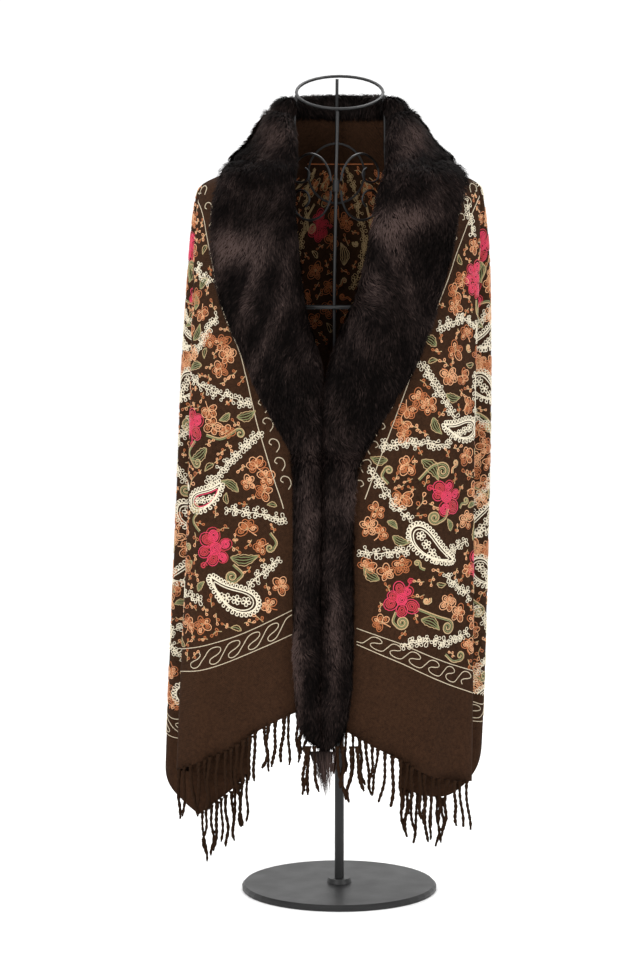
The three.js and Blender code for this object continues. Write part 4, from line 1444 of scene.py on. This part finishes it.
def twisted_strand(path, thickness, turns):
    """A two-ply strand: a waisted section that turns as it goes down the path."""
    tangent = unit(np.gradient(path, axis=0))
    side = unit(np.cross(tangent, np.array([[0.0, 1.0, 0.0]])))
    front = np.cross(tangent, side)
    around = np.arange(STRAND_SIDES) * 2 * math.pi / STRAND_SIDES
    along = np.linspace(0, 1, STRAND_RINGS)
    size = np.interp(along, [0, 0.06, 0.14, 0.9, 1], [1.35, 1.3, 0.95, 1.0, 0.6])
    angle = around[None, :] + (along * turns * 2 * math.pi)[:, None]
    reach = (thickness / 2 * (1.0 + 0.20 * np.cos(2 * around)))[None, :] * size[:, None]
    beside = side[:, None, :] * (np.cos(angle) * reach)[:, :, None]
    before = front[:, None, :] * (np.sin(angle) * reach)[:, :, None]
    turned_share = np.tile(np.arange(STRAND_SIDES) / STRAND_SIDES, STRAND_RINGS)
    uv = columns(np.repeat(along, STRAND_SIDES), turned_share)
    return (path[:, None, :] + beside + before).reshape(-1, 3), uv


def tube_faces(start):
    """The sides and the two end caps of a strand whose points begin at a number."""
    ring = np.arange(STRAND_RINGS - 1)[:, None] * STRAND_SIDES
    corner = np.arange(STRAND_SIDES)
    after = (corner + 1) % STRAND_SIDES
    quads = [ring + corner, ring + STRAND_SIDES + corner, ring + STRAND_SIDES + after, ring + after]
    caps = np.stack([corner, corner[::-1] + (STRAND_RINGS - 1) * STRAND_SIDES])
    return np.stack(quads, axis=-1).reshape(-1, 4) + start, caps + start


def hanging_path(top, drop, draw):
    """The wavy line of one strand from its top."""
    t = np.linspace(0, 1, STRAND_RINGS)
    swing, bow = draw.normal(scale=4.5) * MM, draw.uniform(1.2, 3.6) * MM
    waves, phase = draw.uniform(0.7, 1.5), draw.uniform(0, 2 * math.pi)
    angle = waves * 2 * math.pi * t + phase
    x = top[0] + swing * t**1.5 + bow * t * np.sin(angle)
    y = top[1] + 0.5 * bow * t * np.cos(angle)
    return columns(x, y, top[2] - drop * t)


class SHAWL_OT_fringe(bpy.types.Operator):
    """Twisted strands along the two short ends and under the fur bands, uneven as they hang"""

    bl_idname = "shawl.fringe"
    bl_label = "Fringe"

    def execute(self, context):
        finish = yarn_finish(settings().yarn)
        for number, node in enumerate(FRINGES):
            draw = np.random.default_rng(40 + number)
            spacing = UNDER_SPACING if "under" in node else FRONT_SPACING
            strands = [(top, draw.uniform(55, 67)) for top in along_line(hem_line(node), spacing)]
            if "front" in node:
                low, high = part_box(node.replace("fringe_front", "fur_band"))
                for x in np.linspace(low[0] + 0.022, high[0] - 0.010, 4):
                    strands.append((np.array([x, high[1] - 0.012, 0.205]), draw.uniform(48, 72)))
            parts = []
            for k, (top, drop) in enumerate(strands):
                shift = np.array([draw.normal() * 1.4 * MM, draw.normal() * 0.4 * MM, 1.5 * MM])
                path = hanging_path(top + shift, drop * MM, draw)
                thick = settings().strand_width * draw.uniform(0.8, 1.12)
                strand = twisted_strand(path, thick, draw.uniform(3, 4.5))
                parts.append((*strand, *tube_faces(k * STRAND_RINGS * STRAND_SIDES)))
            points, uv, quads, caps = (np.concatenate(part) for part in zip(*parts))
            mesh = array_mesh(node.replace("fringe_", "fringe_strands_"), points, [quads, caps], uv)
            piece = new_piece(mesh, finish)
            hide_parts(node)
        return {"FINISHED"}


# ---- wire form
class SHAWL_OT_form(bpy.types.Operator):
    """The wire dress form, its pole and base, in black iron"""

    bl_idname = "shawl.form"
    bl_label = "Wire Dress Form"

    def execute(self, context):
        finish = iron_finish(settings().iron)
        for node in IRON_NODES:
            for slot in frame["nodes"][node].material_slots:
                slot.material = finish
        return {"FINISHED"}


# ---- stage
def area_light(name, place, size, power):
    """A rectangular light that is turned to the middle of the garment."""
    data = bpy.data.lights.new(name, "AREA")
    data.shape = "RECTANGLE"
    data.size, data.size_y = size
    data.energy = power
    light = add_object(name, data)
    light.location = place
    light.rotation_euler = (Vector((0, 0, 0.6)) - Vector(place)).to_track_quat("-Z", "Y").to_euler()


class SHAWL_OT_stage(bpy.types.Operator):
    """A plain pale floor, soft studio light and the camera"""

    bl_idname = "shawl.stage"
    bl_label = "Stage"

    def execute(self, context):
        bm = bmesh.new()
        bmesh.ops.create_grid(bm, x_segments=1, y_segments=1, size=30.0)
        mesh = bpy.data.meshes.new("floor")
        bm.to_mesh(mesh)
        bm.free()
        floor = add_object("floor", mesh)
        mesh.materials.append(floor_finish(settings().floor))

        context.scene.view_settings.view_transform = "Standard"
        world = bpy.data.worlds.new("studio")
        world.use_nodes = True
        world.node_tree.nodes["Background"].inputs["Color"].default_value = (1, 1, 1, 1)
        world.node_tree.nodes["Background"].inputs["Strength"].default_value = 1.1
        context.scene.world = world
        area_light("key", (-1.5, -2.6, 2.2), (1.2, 1.6), 58)
        area_light("fill", (2.2, -2.2, 1.1), (1.2, 1.8), 26)
        area_light("top", (0.3, 0.6, 2.6), (1.6, 1.2), 34)

        framed_height, distance = 1.219, 3.2
        rise = math.radians(4.5)
        target = Vector((AXIS_X - 0.0248, 0.0, 0.5277))
        camera_data = bpy.data.cameras.new("camera")
        camera_data.lens = camera_data.sensor_width * distance / framed_height
        camera = add_object("camera", camera_data)
        camera.location = target + Vector((0, -math.cos(rise), math.sin(rise))) * distance
        camera.rotation_euler = (math.pi / 2 - rise, 0, 0)
        context.scene.camera = camera
        return {"FINISHED"}


# ---- add-on
OPERATORS = (
    SHAWL_OT_stage,
    SHAWL_OT_cloth,
    SHAWL_OT_fur,
    SHAWL_OT_embroidery,
    SHAWL_OT_fringe,
    SHAWL_OT_form,
)


class SHAWL_PT_panel(bpy.types.Panel):
    """Lists the shawl's pieces and settings"""

    bl_label = "Shawl"
    bl_idname = "SHAWL_PT_panel"
    bl_space_type = "VIEW_3D"
    bl_region_type = "UI"
    bl_category = "Shawl"

    def draw(self, context):
        for operator in OPERATORS:
            self.layout.operator(operator.bl_idname)
        for name in ShawlSettings.__annotations__:
            self.layout.prop(context.scene.shawl_settings, name)


CLASSES = (ShawlSettings, *OPERATORS, SHAWL_PT_panel)


def register():
    for cls in CLASSES:
        bpy.utils.register_class(cls)
    bpy.types.Scene.shawl_settings = bpy.props.PointerProperty(type=ShawlSettings)


def unregister():
    del bpy.types.Scene.shawl_settings
    for cls in reversed(CLASSES):
        bpy.utils.unregister_class(cls)


def main():
    register()
    bpy.ops.shawl.stage()
    bpy.ops.shawl.cloth()
    bpy.ops.shawl.fur()
    bpy.ops.shawl.embroidery()
    bpy.ops.shawl.fringe()
    bpy.ops.shawl.form()


if __name__ == "__main__":
    main()
